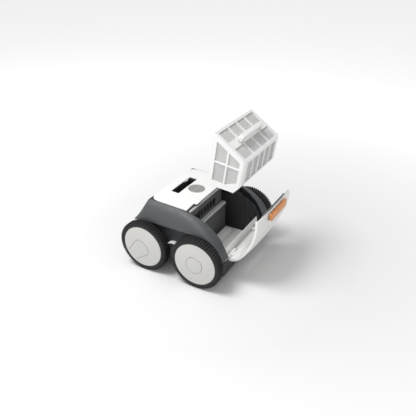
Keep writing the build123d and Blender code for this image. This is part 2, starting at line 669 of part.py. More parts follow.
def front_sill():
    """Light sill in front of the bay, with the ears that carry the lid's hinge pin."""
    face = HINGE_Y + KNUCKLE_RADIUS + 1.0
    inner_face = HINGE_Y + 6.0 + WALL
    rear, nose = SILL_EDGE - 1.5, HINGE_Z - SILL_NOSE
    section = [
        (inner_face, FLOOR_Z), (rear, FLOOR_Z), (rear, SILL_TOP - 2), (rear - 1, SILL_TOP),
        (rear - 2.5, SILL_TOP), (face, HINGE_Z + 12), (face, nose), (inner_face, nose),
    ]
    sill = prism(section, -SILL_HALF_WIDTH, SILL_HALF_WIDTH)
    for near, far in EAR_SPANS:
        for x0, x1 in ((near, far), (-far, -near)):
            sill += block((x0, HINGE_Y, HINGE_Z - 6), (x1, face, HINGE_Z + 4))
            sill += rod_x(KNUCKLE_RADIUS - 0.5, x0, x1, HINGE_Y, HINGE_Z)
    return sill - rod_x(HINGE_PIN_RADIUS, -SILL_HALF_WIDTH - 1, SILL_HALF_WIDTH + 1, HINGE_Y, HINGE_Z)


def hinge_pins():
    """Steel pins that the lid turns on, one each side."""
    return group(*[rod_x(HINGE_PIN_RADIUS, x - 19, x + 19, HINGE_Y, HINGE_Z) for x in KNUCKLE_PLACES])


# ------------------------------------------------------------------ power unit
def power_unit_housing():
    """Sealed box that holds the motors and the control board."""
    low = (-UNIT_HALF_WIDTH, UNIT_FRONT, FLOOR_Z)
    high = (UNIT_HALF_WIDTH, UNIT_REAR, UNIT_TOP)
    box = fillet(block(low, high).edges().filter_by(Axis.Z), 4.0)
    box -= block([v + WALL for v in low], [v - WALL for v in high])
    reach = UNIT_HALF_WIDTH + 1
    box -= rod_x(PINION_SHAFT_RADIUS + 1.5, -reach, reach, WHEELBASE_MIDDLE, AXLE_Z)
    return box - rod_z(PUMP_SHAFT_RADIUS + 1.5, UNIT_TOP - 9, UNIT_TOP + 9, 0, OUTLET_Y)


def power_unit_ledge():
    """Grey bar along the top front edge of the power unit."""
    low = (-UNIT_HALF_WIDTH, UNIT_FRONT, UNIT_TOP)
    high = (UNIT_HALF_WIDTH, UNIT_FRONT + LEDGE_DEPTH, UNIT_TOP + LEDGE_HEIGHT)
    bar = block(low, high)
    return fillet(bar.edges().filter_by(Axis.X), 2.0)


def pump_cover():
    """Dark cover above the power unit, with the pump's inlet window."""
    top = LIP_BOTTOM_Z - 2.0
    low = (-UNIT_HALF_WIDTH + 6, COVER_FRONT, UNIT_TOP)
    high = (UNIT_HALF_WIDTH - 6, SLOT_FRONT - WALL - 1, top)
    cover = block(low, high) - block([v + WALL for v in low], (high[0] - WALL, high[1] - WALL, top + 9))
    window = block((-70, COVER_FRONT - 2, UNIT_TOP + 14), (70, COVER_FRONT + WALL + 1, UNIT_TOP + 42))
    for number in range(1, 7):
        x = -70 + number * 20
        window -= block((x - 1.5, COVER_FRONT - 3, UNIT_TOP), (x + 1.5, COVER_FRONT + WALL + 2, top))
    return cover - window - rod_z(PUMP_SHAFT_RADIUS + 1.5, UNIT_TOP - 9, UNIT_TOP + 9, 0, OUTLET_Y)


def outlet_duct():
    """Tube round the impeller that leads up to the outlet grille."""
    z0, z1 = UNIT_TOP + 46.0, panel_z(OUTLET_Y) - 8.0
    bore = rod_z(DUCT_RADIUS - 2, z0 - 1, z1 + 1, 0, OUTLET_Y)
    tube = rod_z(DUCT_RADIUS, z0, z1, 0, OUTLET_Y)
    for x in (-DUCT_RADIUS, DUCT_RADIUS):
        tube += block((x - 3, OUTLET_Y - 2, UNIT_TOP + WALL), (x + 3, OUTLET_Y + 2, z0 + 4))
    return tube - bore


def pump_motor():
    """Upright pump motor with a bearing bore for the pump shaft."""
    z1 = UNIT_TOP - WALL - 1.0
    can = rod_z(MOTOR_RADIUS, z1 - MOTOR_HEIGHT, z1, 0, OUTLET_Y)
    return can - rod_z(PUMP_SHAFT_RADIUS + RUNNING_CLEARANCE, z1 - 30, z1 + 1, 0, OUTLET_Y)


def pump_shaft():
    """Steel shaft from the pump motor up through the impeller."""
    return rod_z(PUMP_SHAFT_RADIUS, UNIT_TOP - WALL - 30.0, IMPELLER_Z + IMPELLER_HEIGHT, 0, OUTLET_Y)


def impeller():
    """Axial impeller with pitched blades."""
    half = IMPELLER_HEIGHT / 2
    blade = Pos(IMPELLER_RADIUS / 2, 0, 0) * Rot(38, 0, 0) * Box(IMPELLER_RADIUS, 17.0, 1.8)
    body = Cylinder(7.0, IMPELLER_HEIGHT)
    for number in range(IMPELLER_BLADES):
        body += Rot(0, 0, 360.0 * number / IMPELLER_BLADES) * blade
    body = body & Cylinder(IMPELLER_RADIUS, IMPELLER_HEIGHT)
    return Pos(0, OUTLET_Y, IMPELLER_Z + half) * (body - Cylinder(PUMP_SHAFT_RADIUS, 99))


def control_board():
    """Circuit board with its larger components, stood behind the pump motor."""
    y = UNIT_REAR - WALL - 14.0
    board = block((-50, y, FLOOR_Z + WALL), (50, y + 1.6, FLOOR_Z + WALL + 62))
    for number in range(4):
        x = -38.0 + 25.0 * number
        board += block((x - 7, y - 8 - number, FLOOR_Z + 20), (x + 7, y, FLOOR_Z + 36 + 3 * number))
    return board


# ------------------------------------------------------------------ lid, drawn closed
LID_SHAPE = ((0.0, 0.0), (-0.008, 0.17), (0.16, 0.47), (0.536, 0.805), (1.0, 1.0))


def lid_outline():
    """Closed lid's skin in Y-Z, from just above its hinge to its free edge."""
    y0, z0 = ARCH_FRONT - 1.0, HINGE_Z + 8.0
    y1, z1 = PANEL_FRONT - LIP_REACH - LID_GAP, SHELL_TOP_Z + LID_PROUD
    return [(mix(y0, y1, along), mix(z0, z1, up)) for along, up in LID_SHAPE]


def lid_section(start, along):
    """Crowned section with side flanges, square to the skin's outline at its start."""
    plane = Plane(origin=start, x_dir=(-1, 0, 0), z_dir=along)
    half, wall, crown = LID_HALF_WIDTH, LID_WALL, LID_CROWN
    outer = ThreePointArc((-half, 0), (0, crown), (half, 0))
    inner = ThreePointArc((half - wall, -wall), (0, crown - wall), (-half + wall, -wall))
    right = Polyline((half, 0), (half, -LID_FLANGE), (half - wall, -LID_FLANGE), (half - wall, -wall))
    left = Polyline((-half + wall, -wall), (-half + wall, -LID_FLANGE), (-half, -LID_FLANGE), (-half, 0))
    face = make_face(Curve() + [outer, right, inner, left])
    return plane * face


def lid_path():
    """Line that the lid's section follows."""
    return Spline(*[(0, y, z) for y, z in lid_outline()])


def latch_frame():
    """Plane on the lid's crowned skin under the latch: X along the latch, Z out of the skin."""
    path = lid_path()
    at = 1.0 - (LATCH_WIDTH / 2 + 4.0) / path.length
    along = path % at
    out = Vector(0, -along.Z, along.Y)
    return Plane(origin=path @ at + out * LID_CROWN, x_dir=(1, 0, 0), z_dir=out)


def latch_pin_y():
    """Latch pin's place across the lever, in the latch's plane."""
    return LATCH_PIN_EDGE - LATCH_WIDTH / 2


def lid_knuckle(x):
    """Hinge knuckle and its arm to the skin."""
    x0, x1 = x - KNUCKLE_HALF, x + KNUCKLE_HALF
    arm = block((x0, HINGE_Y - 6.0, HINGE_Z), (x1, HINGE_Y + 3.0, HINGE_Z + 14))
    return rod_x(KNUCKLE_RADIUS, x0, x1, HINGE_Y, HINGE_Z) + arm


def lid_shell():
    """White lid: crowned skin with flanges, knuckles and latch lugs, drawn closed."""
    path = lid_path()
    start, along = path @ 0, path % 0
    skin = sweep(lid_section(start, along), path=path)
    lid = skin.solid()
    for cutter in corner_cutters():
        lid -= cutter
    for x in KNUCKLE_PLACES:
        lid += lid_knuckle(x)
    lugs = latch_frame()
    for side in (1, -1):
        lug = Pos(side * (LATCH_LENGTH / 2 + 3.5), latch_pin_y(), 1.0) * Box(5, 7, 2 * LATCH_PIN_HEIGHT + 5)
        lid += lugs * lug
    pin_half = LATCH_LENGTH / 2 + 9
    lid -= lugs * rod_x(LATCH_PIN_RADIUS, -pin_half, pin_half, latch_pin_y(), LATCH_PIN_HEIGHT)
    pin_bore = HINGE_PIN_RADIUS + RUNNING_CLEARANCE
    return lid - rod_x(pin_bore, -SILL_HALF_WIDTH - 9, SILL_HALF_WIDTH + 9, HINGE_Y, HINGE_Z)


def corner_cutters():
    """What rounds off the two corners of the lid's free edge."""
    path = lid_path()
    end, along = path @ 1, path % 1
    plane = Plane(origin=end, x_dir=(1, 0, 0), z_dir=(0, -along.Z, along.Y))
    radius = LID_CORNER
    cutters = []
    for side in (1, -1):
        middle = Pos(side * (LID_HALF_WIDTH - radius / 2 + 1), -radius / 2 + 1)
        square = middle * Rectangle(radius + 2, radius + 2)
        round_part = Pos(side * (LID_HALF_WIDTH - radius), -radius) * Circle(radius)
        cutters.append(extrude(plane * (square - round_part), amount=40, both=True))
    return cutters


def lid_seal():
    """Rubber seal strip along the lid's free edge, on its inside."""
    path = lid_path()
    at = 1.0 - 6.0 / path.length
    along = path % at
    out = Vector(0, -along.Z, along.Y)
    plane = Plane(origin=path @ at - out * (LID_WALL - LID_CROWN + 6.0), x_dir=(1, 0, 0), z_dir=out)
    return plane * Pos(0, 0, -2.2) * Box(2 * (LID_HALF_WIDTH - LID_CORNER) - 30, 5, 3)


def latch_lever():
    """Orange latch lever on the lid, with finger scallops along its upper edge."""
    low = LATCH_STAND_OFF
    body = Pos(0, 0, low + LATCH_HEIGHT / 2) * Box(LATCH_LENGTH, LATCH_WIDTH, LATCH_HEIGHT)
    body = fillet(body.edges().filter_by(Axis.Z), 4.0)
    body = chamfer(body.faces().sort_by(Axis.Z)[-1].edges(), 1.2)
    for number in range(12):
        x = -LATCH_LENGTH / 2 + 9 + number * (LATCH_LENGTH - 18) / 11
        body -= Pos(x, LATCH_WIDTH / 2, low) * Cylinder(1.8, 40)
    bore = LATCH_PIN_RADIUS + RUNNING_CLEARANCE
    return latch_frame() * (body - rod_x(bore, -LATCH_LENGTH, LATCH_LENGTH, latch_pin_y(), LATCH_PIN_HEIGHT))


def latch_pin():
    """Steel pin of the latch, held in the lid's lugs."""
    half = LATCH_LENGTH / 2 + 6.0
    return latch_frame() * rod_x(LATCH_PIN_RADIUS, -half, half, latch_pin_y(), LATCH_PIN_HEIGHT)


# ------------------------------------------------------------------ basket, drawn seated
def basket_region(inset):
    """Side view of the basket, moved inwards by inset."""
    top_front = BASKET_TOP - BASKET_DEPTH * TAN_SLOPE
    slant = inset / math.cos(math.radians(BASKET_SLOPE))
    rear, front = BASKET_REAR - inset, BASKET_FRONT + inset
    return [
        (rear, BASKET_BOTTOM), (rear, BASKET_TOP - slant - inset * TAN_SLOPE),
        (front, top_front - slant + inset * TAN_SLOPE), (front, BASKET_BOTTOM + 31 + inset * 0.3),
        (front + 8, BASKET_BOTTOM + 19 + inset * 0.6), (front + 21, BASKET_BOTTOM + DOOR_THICKNESS),
    ]


def basket_shape(inset):
    """Filled shape of the basket, moved inwards by inset and open below."""
    region = basket_region(inset)
    if inset > 0:
        low = BASKET_BOTTOM - 20
        region = [(region[0][0], low), *region[1:5], (region[5][0] + 2, low)]
    return prism(region, -BASKET_HALF_WIDTH + inset, BASKET_HALF_WIDTH - inset)


def top_face_plane():
    """Plane on the basket's sloping top face, X across, Y rearwards and up the slope, Z outwards."""
    lean = math.radians(BASKET_SLOPE)
    middle_z = BASKET_TOP - BASKET_DEPTH / 2 * TAN_SLOPE
    middle = (0, BASKET_REAR - BASKET_DEPTH / 2, middle_z)
    return Plane(origin=middle, x_dir=(1, 0, 0), z_dir=(0, -math.sin(lean), math.cos(lean)))


def top_windows():
    """Cutters for the top face's windows: two rows of four."""
    slope_length = BASKET_DEPTH / math.cos(math.radians(BASKET_SLOPE))
    half_row = slope_length / 2 - 8.0
    cutters = []
    edges = (-BASKET_HALF_WIDTH + 8, -50.0, 0.0, 50.0, BASKET_HALF_WIDTH - 8)
    for x0, x1 in zip(edges, edges[1:]):
        for y0, y1 in ((-half_row, -CROSSBAR_WIDTH / 2), (CROSSBAR_WIDTH / 2, half_row)):
            low, high = (x0 + RIB_WIDTH / 2, y0, -2 * BASKET_WALL), (x1 - RIB_WIDTH / 2, y1, 2 * BASKET_WALL)
            cutters.append(top_face_plane() * block(low, high))
    return cutters


def side_windows():
    """Cutters for both side faces: two by two windows with a cross of ribs."""
    frame_in = basket_region(11.0)
    y_rear, y_front = frame_in[1][0], frame_in[2][0] + 4
    y_mid = (y_rear + y_front) / 2
    z_low, z_mid = BASKET_BOTTOM + RIM_WIDTH + 4, BASKET_BOTTOM + 76.0
    outline = [
        (y_front, BASKET_BOTTOM + 34), (y_mid - 2, z_low), (y_rear, z_low),
        (y_rear, frame_in[1][1] - 4), (y_front, frame_in[2][1] - 2),
    ]
    window = prism(outline, -BASKET_HALF_WIDTH - 5, BASKET_HALF_WIDTH + 5)
    window -= block((-999, y_mid - RIB_WIDTH / 2, 0), (999, y_mid + RIB_WIDTH / 2, 999))
    window -= block((-999, -999, z_mid - RIB_WIDTH / 2), (999, 999, z_mid + RIB_WIDTH / 2))
    return window - block((-BASKET_HALF_WIDTH + 6, -999, 0), (BASKET_HALF_WIDTH - 6, 999, 999))


def face_windows(y0, y1, z0, z1, columns):
    """Cutters for a row of upright windows in the front or rear face."""
    width = 2 * (BASKET_HALF_WIDTH - 17.0) / columns
    cutters = []
    for number in range(columns):
        x = -BASKET_HALF_WIDTH + 17.0 + number * width
        cutters.append(block((x + RIB_WIDTH / 2, y0, z0), (x + width - RIB_WIDTH / 2, y1, z1)))
    return cutters


def basket_frame():
    """White open-bottomed frame of the basket, with lugs for its handle."""
    frame = basket_shape(0.0) - basket_shape(BASKET_WALL)
    top_front = basket_region(0.0)[2][1]
    for cutter in top_windows():
        frame -= cutter
    frame -= side_windows()
    for cutter in face_windows(BASKET_FRONT - 2, BASKET_FRONT + 6, BASKET_BOTTOM + 36, top_front - 9, 5):
        frame -= cutter
    for cutter in face_windows(BASKET_REAR - 6, BASKET_REAR + 2, BASKET_BOTTOM + 22, BASKET_TOP - 18, 4):
        frame -= cutter
    bar = Pos(0, 0, -BASKET_WALL / 2) * Box(2 * BASKET_HALF_WIDTH - 12, CROSSBAR_WIDTH, BASKET_WALL)
    frame += top_face_plane() * bar
    for side in (1, -1):
        lug = Pos(side * (HANDLE_LENGTH / 2 - 14), 0, 4) * Box(8, 12, 14)
        frame += top_face_plane() * lug
    pin_space = HANDLE_LENGTH / 2 + 9
    return frame - top_face_plane() * rod_x(HANDLE_PIN_RADIUS, -pin_space, pin_space, 0, PIVOT_HEIGHT)


def door_hinge():
    """Y and Z of the basket door's hinge line."""
    return BASKET_FRONT + DOOR_HINGE_SET_BACK + DOOR_GAP, BASKET_BOTTOM


def handle_pins():
    """Two steel pins in the frame's lugs that the handle hangs on."""
    half = HANDLE_LENGTH / 2
    pins = []
    for side in (1, -1):
        pin = rod_x(HANDLE_PIN_RADIUS, side * (half - 18), side * (half - 1), 0, PIVOT_HEIGHT)
        pins.append(top_face_plane() * pin)
    return group(*pins)


def basket_mesh():
    """Filter mesh panels behind the frame's windows, one flat solid per face."""
    layer = basket_shape(BASKET_WALL) - basket_shape(BASKET_WALL + MESH_THICKNESS)
    layer = layer & block((-999, -999, BASKET_BOTTOM + DOOR_THICKNESS + 2), (999, 999, 999))
    region = basket_region(BASKET_WALL)
    inner = BASKET_HALF_WIDTH - BASKET_WALL - MESH_THICKNESS
    side = layer & block((inner, -999, 0), (999, 999, 999))
    middle = layer & block((-inner + 0.05, -999, 0), (inner - 0.05, 999, 999))
    front_y = BASKET_FRONT + BASKET_WALL + MESH_THICKNESS
    front = middle & block((-999, -999, region[3][1]), (999, front_y, region[2][1] - 2))
    rear = middle & block((-999, BASKET_REAR - BASKET_WALL - MESH_THICKNESS, 0), (999, 999, region[1][1] - 2))
    top_y = BASKET_REAR - BASKET_WALL - MESH_THICKNESS - 1
    top = middle & block((-999, BASKET_FRONT + BASKET_WALL + 2, region[2][1] - 9), (999, top_y, 999))
    biggest = [max(piece.solids(), key=lambda s: s.volume) for piece in (side, front, rear, top)]
    return group(*biggest, mirror(biggest[0], about=Plane.YZ))


def basket_clip():
    """Spring clip at the basket's rear that holds the door shut."""
    x, y, z = -BASKET_HALF_WIDTH + 22, BASKET_REAR, BASKET_BOTTOM + 2
    clip = block((x, y, z), (x + 24, y + 2.5, z + 24))
    return clip - block((x + 6, y - 1, z + 10), (x + 18, y + 9, z + 15))


def basket_door():
    """Bottom door of the basket, with the opening that fits over the intake."""
    half = BASKET_HALF_WIDTH - BASKET_WALL - MESH_THICKNESS - DOOR_GAP
    rear = BASKET_REAR - BASKET_WALL - MESH_THICKNESS - DOOR_GAP
    front, low = door_hinge()
    door = block((-half, front, low), (half, rear, low + DOOR_THICKNESS))
    door += rod_x(DOOR_BARREL_RADIUS, -half, half, front, low)
    return door - mouth(0, 99, WALL + 3.0)


def lift_handle():
    """Bar handle that the basket hangs from."""
    half = HANDLE_LENGTH / 2
    bar = Pos(0, 0, HANDLE_RISE - 3.5) * Box(HANDLE_LENGTH, HANDLE_WIDTH, 7)
    bar = fillet(bar.edges().filter_by(Axis.X), 2.0)
    for side in (1, -1):
        x = side * (half - 4.5)
        bar += Pos(x, 0, (HANDLE_RISE + PIVOT_HEIGHT) / 2 - 1) * Box(9, 10, HANDLE_RISE - PIVOT_HEIGHT - 2)
        bar += Pos(x, 0, PIVOT_HEIGHT) * Rot(0, 90, 0) * Cylinder(5.0, 9)
    bore = rod_x(HANDLE_PIN_RADIUS + RUNNING_CLEARANCE, -half - 9, half + 9, 0, PIVOT_HEIGHT)
    return top_face_plane() * (bar - bore)


# ------------------------------------------------------------------ open pose and export
def opened(shape):
    """Turn a lid piece from closed to open about the hinge line."""
    swing = Pos(0, HINGE_Y, HINGE_Z) * Rot(LID_OPEN_ANGLE, 0, 0) * Pos(0, -HINGE_Y, -HINGE_Z)
    return swing * shape


def lift_vector():
    """How far the handle has travelled from seated to lifted."""
    lean = math.radians(LIFT_LEAN)
    return Vector(0, -BASKET_LIFT * math.sin(lean), BASKET_LIFT * math.cos(lean))


def lifted(shape, tilt):
    """Raise a basket piece and tilt it about the handle's pivot."""
    pivot = top_face_plane().from_local_coords(Vector(0, 0, PIVOT_HEIGHT))
    there = pivot + lift_vector()
    return Pos(*there) * Rot(tilt, 0, 0) * Pos(*(-pivot)) * shape


def root_parts():
    """Every piece that stays with the body."""
    parts = {
        "chassis_tray": chassis_tray(), "bottom_plate": bottom_plate(), "body_screws": body_screws(),
        "wheel_axles": wheel_axles(), "floor_insert": floor_insert(), "intake_duct": intake_duct(),
        "front_sill": front_sill(), "lid_hinge_pins": hinge_pins(), "rear_shell": rear_shell(),
        "cable_gland": cable_gland(), "gland_nut": gland_nut(), "top_panel": top_panel(),
        "outlet_grille": outlet_grille(), "hand_pocket": hand_pocket(), "lip_seal_rail": lip_seal_rail(),
        "power_unit_housing": power_unit_housing(), "power_unit_ledge": power_unit_ledge(),
        "pump_cover": pump_cover(), "outlet_duct": outlet_duct(), "pump_motor": pump_motor(),
        "control_board": control_board(), "drive_motors": group(*right_and_left(drive_motor())),
        "gear_guards": group(*right_and_left(gear_guard())),
    }
    pairs = {"side_shell": side_shell(), "wheel_well": wheel_well_plate(), "bay_liner": bay_liner()}
    for name, shape in pairs.items():
        parts[f"{name}_right"], parts[f"{name}_left"] = right_and_left(shape)
    return parts


def moving_parts():
    """Every piece that turns, slides or swings, at its shown position."""
    parts = {"impeller": impeller(), "pump_shaft": pump_shaft(), "intake_flap": intake_flap()}
    for axle, y, half_tooth in (("front", FRONT_AXLE_Y, False), ("rear", REAR_AXLE_Y, True)):
        for name, shape in wheel_parts(y, half_tooth).items():
            parts[f"{name}_{axle}_right"], parts[f"{name}_{axle}_left"] = right_and_left(shape)
    parts["pinion_right"], parts["pinion_left"] = right_and_left(pinion())
    for name, shape in (("lid_shell", lid_shell()), ("lid_seal", lid_seal()),
                        ("latch_lever", latch_lever()), ("latch_pin", latch_pin())):
        parts[name] = opened(shape)
    parts["lift_handle"] = lifted(lift_handle(), 0.0)
    for name, shape in (("basket_frame", basket_frame()), ("basket_mesh", basket_mesh()),
                        ("basket_clip", basket_clip()), ("basket_door", basket_door()),
                        ("handle_pins", handle_pins())):
        parts[name] = lifted(shape, BASKET_TILT)
    return parts


def base_centre(parts):
    """Centre of the whole object's footprint, on the ground."""
    boxes = [shape.bounding_box() for shape in parts.values()]
    y0 = min(box.min.Y for box in boxes)
    y1 = max(box.max.Y for box in boxes)
    z0 = min(box.min.Z for box in boxes)
    return Vector(0, (y0 + y1) / 2, z0)


def main():
    """Build every piece, move the origin to the base centre and write the files."""
    parts = {**root_parts(), **moving_parts()}
    centre = base_centre(parts)
    os.makedirs("parts", exist_ok=True)
    for name, shape in parts.items():
        export_step(Pos(*(-centre)) * shape, f"parts/{name}.step")
    print("base centre in the design frame:", tuple(round(v, 3) for v in centre))


if __name__ == "__main__":
    main()
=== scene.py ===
"""Looks of the four-wheeled pool cleaner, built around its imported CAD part.

Lengths in the classes are millimetres in the maker's drawing frame, where Y = 0 lies near the middle of
the body. Datum turns them into metres in the row frame.
"""
import json
import logging
import math
from dataclasses import dataclass
from enum import Enum
from typing import Callable, Iterable, Sequence

import bmesh
import bpy
from mathutils import Matrix, Vector

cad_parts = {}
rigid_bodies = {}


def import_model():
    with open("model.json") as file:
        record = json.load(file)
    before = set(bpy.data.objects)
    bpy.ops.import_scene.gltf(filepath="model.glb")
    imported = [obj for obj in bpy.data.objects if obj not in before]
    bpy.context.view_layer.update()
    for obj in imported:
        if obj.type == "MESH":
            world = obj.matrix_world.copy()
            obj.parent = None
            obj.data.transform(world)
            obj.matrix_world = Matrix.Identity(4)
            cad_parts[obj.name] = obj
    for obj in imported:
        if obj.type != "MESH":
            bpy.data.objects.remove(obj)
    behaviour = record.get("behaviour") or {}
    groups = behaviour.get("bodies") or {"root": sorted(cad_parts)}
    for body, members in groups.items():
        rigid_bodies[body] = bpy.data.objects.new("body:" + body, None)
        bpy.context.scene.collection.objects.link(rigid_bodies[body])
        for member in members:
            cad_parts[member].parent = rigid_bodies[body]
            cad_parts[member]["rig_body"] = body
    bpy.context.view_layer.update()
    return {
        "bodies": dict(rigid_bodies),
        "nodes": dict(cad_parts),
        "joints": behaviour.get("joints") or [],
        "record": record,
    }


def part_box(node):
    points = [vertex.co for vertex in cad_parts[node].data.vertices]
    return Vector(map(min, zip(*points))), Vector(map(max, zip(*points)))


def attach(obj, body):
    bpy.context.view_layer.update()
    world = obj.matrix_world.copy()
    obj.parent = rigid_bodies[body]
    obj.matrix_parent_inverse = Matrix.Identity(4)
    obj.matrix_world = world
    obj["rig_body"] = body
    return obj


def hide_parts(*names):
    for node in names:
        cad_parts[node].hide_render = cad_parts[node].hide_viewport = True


LOG = logging.getLogger("pool_cleaner")
MM = 0.001
STEPS_PER_RIB = 6
POST_ROUNDING = 7.0
POST_LEAST_LENGTH = 40.0  # shorter edges of the basket's corners stay sharp
SCALLOPS = 6
SCALLOP_PITCH = 17.0
SCALLOP_RADIUS = 6.0
SCALLOP_RISE = 1.0  # height of a scallop's axis over the latch's edge
SCALLOP_REACH = 40.0
SHOULDER_RADIUS = 5.0
SHOULDER_FOOT = 8.5
WAVE_RATE = 20.0  # radians per unit of the wave texture at scale 1
KEY_PLACE = (-0.8, 0.75, 2.4)  # metres from the point aimed at, as is the next
FILL_PLACE = (-1.9, -0.3, 0.9)
EYE_PLACE = (-1.1496, -0.68525, 0.8317)  # metres from the middle of the axles, as is the next
EYE_TARGET = (0.0321, -0.00965, 0.0550)
Point = tuple[float, float]


class Side(Enum):
    """Which side of the cleaner a piece belongs to."""

    RIGHT = 1
    LEFT = -1

    @property
    def word(self) -> str:
        """The side's name as the CAD nodes spell it."""
        return self.name.lower()


class HubMark(Enum):
    """The groove cut in a hub's face."""

    ROUND = "round"
    SHIELD = "shield"


# --------------------------------------------------------------------------------------- finishes
def tint(red: int, green: int, blue: int) -> tuple[float, float, float, float]:
    """A display colour as scene-linear RGBA.

    Args:
        red: Red from 0 to 255.
        green: Green from 0 to 255.
        blue: Blue from 0 to 255.

    Returns:
        Linear colour with an alpha of 1.
    """
    parts = [c / 255 for c in (red, green, blue)]
    linear = [c / 12.92 if c <= 0.04045 else ((c + 0.055) / 1.055) ** 2.4 for c in parts]
    return (linear[0], linear[1], linear[2], 1.0)


class NodeSheet:
    """A material's node tree with short ways to add nodes."""

    def __init__(self, name: str) -> None:
        """Start a material.

        Args:
            name: Name of the material.
        """
        self.material = bpy.data.materials.new(name)
        self.material.use_nodes = True
        self.tree = self.material.node_tree
        self.shader = self.tree.nodes["Principled BSDF"]
        self.coordinates = self.add("ShaderNodeTexCoord")

    def add(self, kind: str, **values: object) -> bpy.types.Node:
        """Add a node.

        Args:
            kind: The node's type name.
            **values: Properties of the node, or inputs when they start with a capital.

        Returns:
            The new node.
        """
        node = self.tree.nodes.new(kind)
        for key, value in values.items():
            if key[0].isupper():
                node.inputs[key.replace("_", " ")].default_value = value
            else:
                setattr(node, key, value)
        return node

    def link(self, source: bpy.types.NodeSocket, target: bpy.types.NodeSocket) -> None:
        """Join an output to an input."""
        self.tree.links.new(source, target)

    def placed(self, turn: Vector, stretch: Vector) -> bpy.types.NodeSocket:
        """Object coordinates turned and stretched.

        Args:
            turn: Rotation in radians about each axis.
            stretch: Scale along each axis.

        Returns:
            The mapped vector.
        """
        mapping = self.add("ShaderNodeMapping", Rotation=turn, Scale=stretch)
        self.link(self.coordinates.outputs["Object"], mapping.inputs["Vector"])
        return mapping.outputs["Vector"]

    def noise(self, scale: float, detail: float = 3.0,
              vector: bpy.types.NodeSocket | None = None) -> bpy.types.NodeSocket:
        """A noise pattern.

        Args:
            scale: Waves per metre.
            detail: Octaves.
            vector: Coordinates; Object coordinates when left out.

        Returns:
            The pattern's value.
        """
        node = self.add("ShaderNodeTexNoise", Scale=scale, Detail=detail)
        self.link(vector or self.coordinates.outputs["Object"], node.inputs["Vector"])
        return node.outputs["Fac"]

    def ranged(self, value: bpy.types.NodeSocket, low: float, high: float,
               start: float = 0.3, end: float = 0.7) -> bpy.types.NodeSocket:
        """Map a pattern from its own range to another.

        Args:
            value: The pattern.
            low: Result at start.
            high: Result at end.
            start: Lower end of the pattern's range.
            end: Upper end of the pattern's range.

        Returns:
            The mapped value.
        """
        node = self.add("ShaderNodeMapRange")
        for index, number in enumerate((start, end, low, high), start=1):
            node.inputs[index].default_value = number
        self.link(value, node.inputs[0])
        return node.outputs[0]

    def blend(self, share: bpy.types.NodeSocket, first: Sequence[float],
              second: Sequence[float]) -> bpy.types.NodeSocket:
        """Mix two colours by a pattern.

        Args:
            share: The pattern, 0 for the first colour.
            first: First colour.
            second: Second colour.

        Returns:
            The mixed colour.
        """
        node = self.add("ShaderNodeMix", data_type="RGBA")
        self.link(share, node.inputs["Factor"])
        node.inputs[6].default_value = first
        node.inputs[7].default_value = second
        return node.outputs[2]

    def bump(self, heights: Iterable[tuple[bpy.types.NodeSocket, float]]) -> None:
        """Send stacked height patterns to the shader's normal.

        Args:
            heights: Pairs of a pattern and its depth in millimetres.
        """
        below = None
        for height, depth in heights:
            node = self.add("ShaderNodeBump", Distance=depth * MM)
            self.link(height, node.inputs["Height"])
            if below is not None:
                self.link(below, node.inputs["Normal"])
            below = node.outputs["Normal"]
        self.link(below, self.shader.inputs["Normal"])


def shaded(colour: Sequence[float], share: float) -> tuple[float, float, float, float]:
    """A colour made darker or lighter by a share."""
    return tuple(min(1.0, c * share) for c in colour[:3]) + (1.0,)


@dataclass(frozen=True)
class Plastic:
    """Moulded plastic with slow colour drift, a fine moulded grain and scuffs in its gloss."""

    name: str
    colour: tuple[float, float, float, float]
    roughness: float = 0.42
    drift: float = 0.08
    grain: float = 0.05
    grain_scale: float = 900.0
    coat: float = 0.0

    def build(self) -> bpy.types.Material:
        """Make the material."""
        sheet = NodeSheet(self.name)
        slow = sheet.ranged(sheet.noise(9.0, 4.0), 0.0, 1.0)
        dark, light = shaded(self.colour, 1 - self.drift), shaded(self.colour, 1 + self.drift / 2)
        colour = sheet.blend(slow, dark, light)
        sheet.link(colour, sheet.shader.inputs["Base Color"])
        scuffs = sheet.noise(60.0, 6.0)
        gloss = sheet.ranged(scuffs, self.roughness - 0.06, self.roughness + 0.10)
        sheet.link(gloss, sheet.shader.inputs["Roughness"])
        sheet.shader.inputs["Coat Weight"].default_value = self.coat
        sheet.shader.inputs["Coat Roughness"].default_value = 0.25
        fine, broad = sheet.noise(self.grain_scale, 2.0), sheet.noise(45.0, 2.0)
        sheet.bump([(fine, self.grain), (broad, self.grain * 2)])
        return sheet.material


@dataclass(frozen=True)
class Rubber:
    """Dark rubber with dust that lies in patches."""

    name: str
    colour: tuple[float, float, float, float]
    dust: tuple[float, float, float, float]
    roughness: float = 0.68

    def build(self) -> bpy.types.Material:
        """Make the material."""
        sheet = NodeSheet(self.name)
        patches = sheet.ranged(sheet.noise(22.0, 6.0), 0.0, 0.35, 0.42, 0.75)
        sheet.link(sheet.blend(patches, self.colour, self.dust), sheet.shader.inputs["Base Color"])
        gloss = sheet.ranged(sheet.noise(90.0, 5.0), self.roughness - 0.12, self.roughness + 0.12)
        sheet.link(gloss, sheet.shader.inputs["Roughness"])
        sheet.shader.inputs["Specular IOR Level"].default_value = 0.35
        sheet.bump([(sheet.noise(1400.0, 2.0), 0.06), (sheet.noise(160.0, 3.0), 0.08)])
        return sheet.material


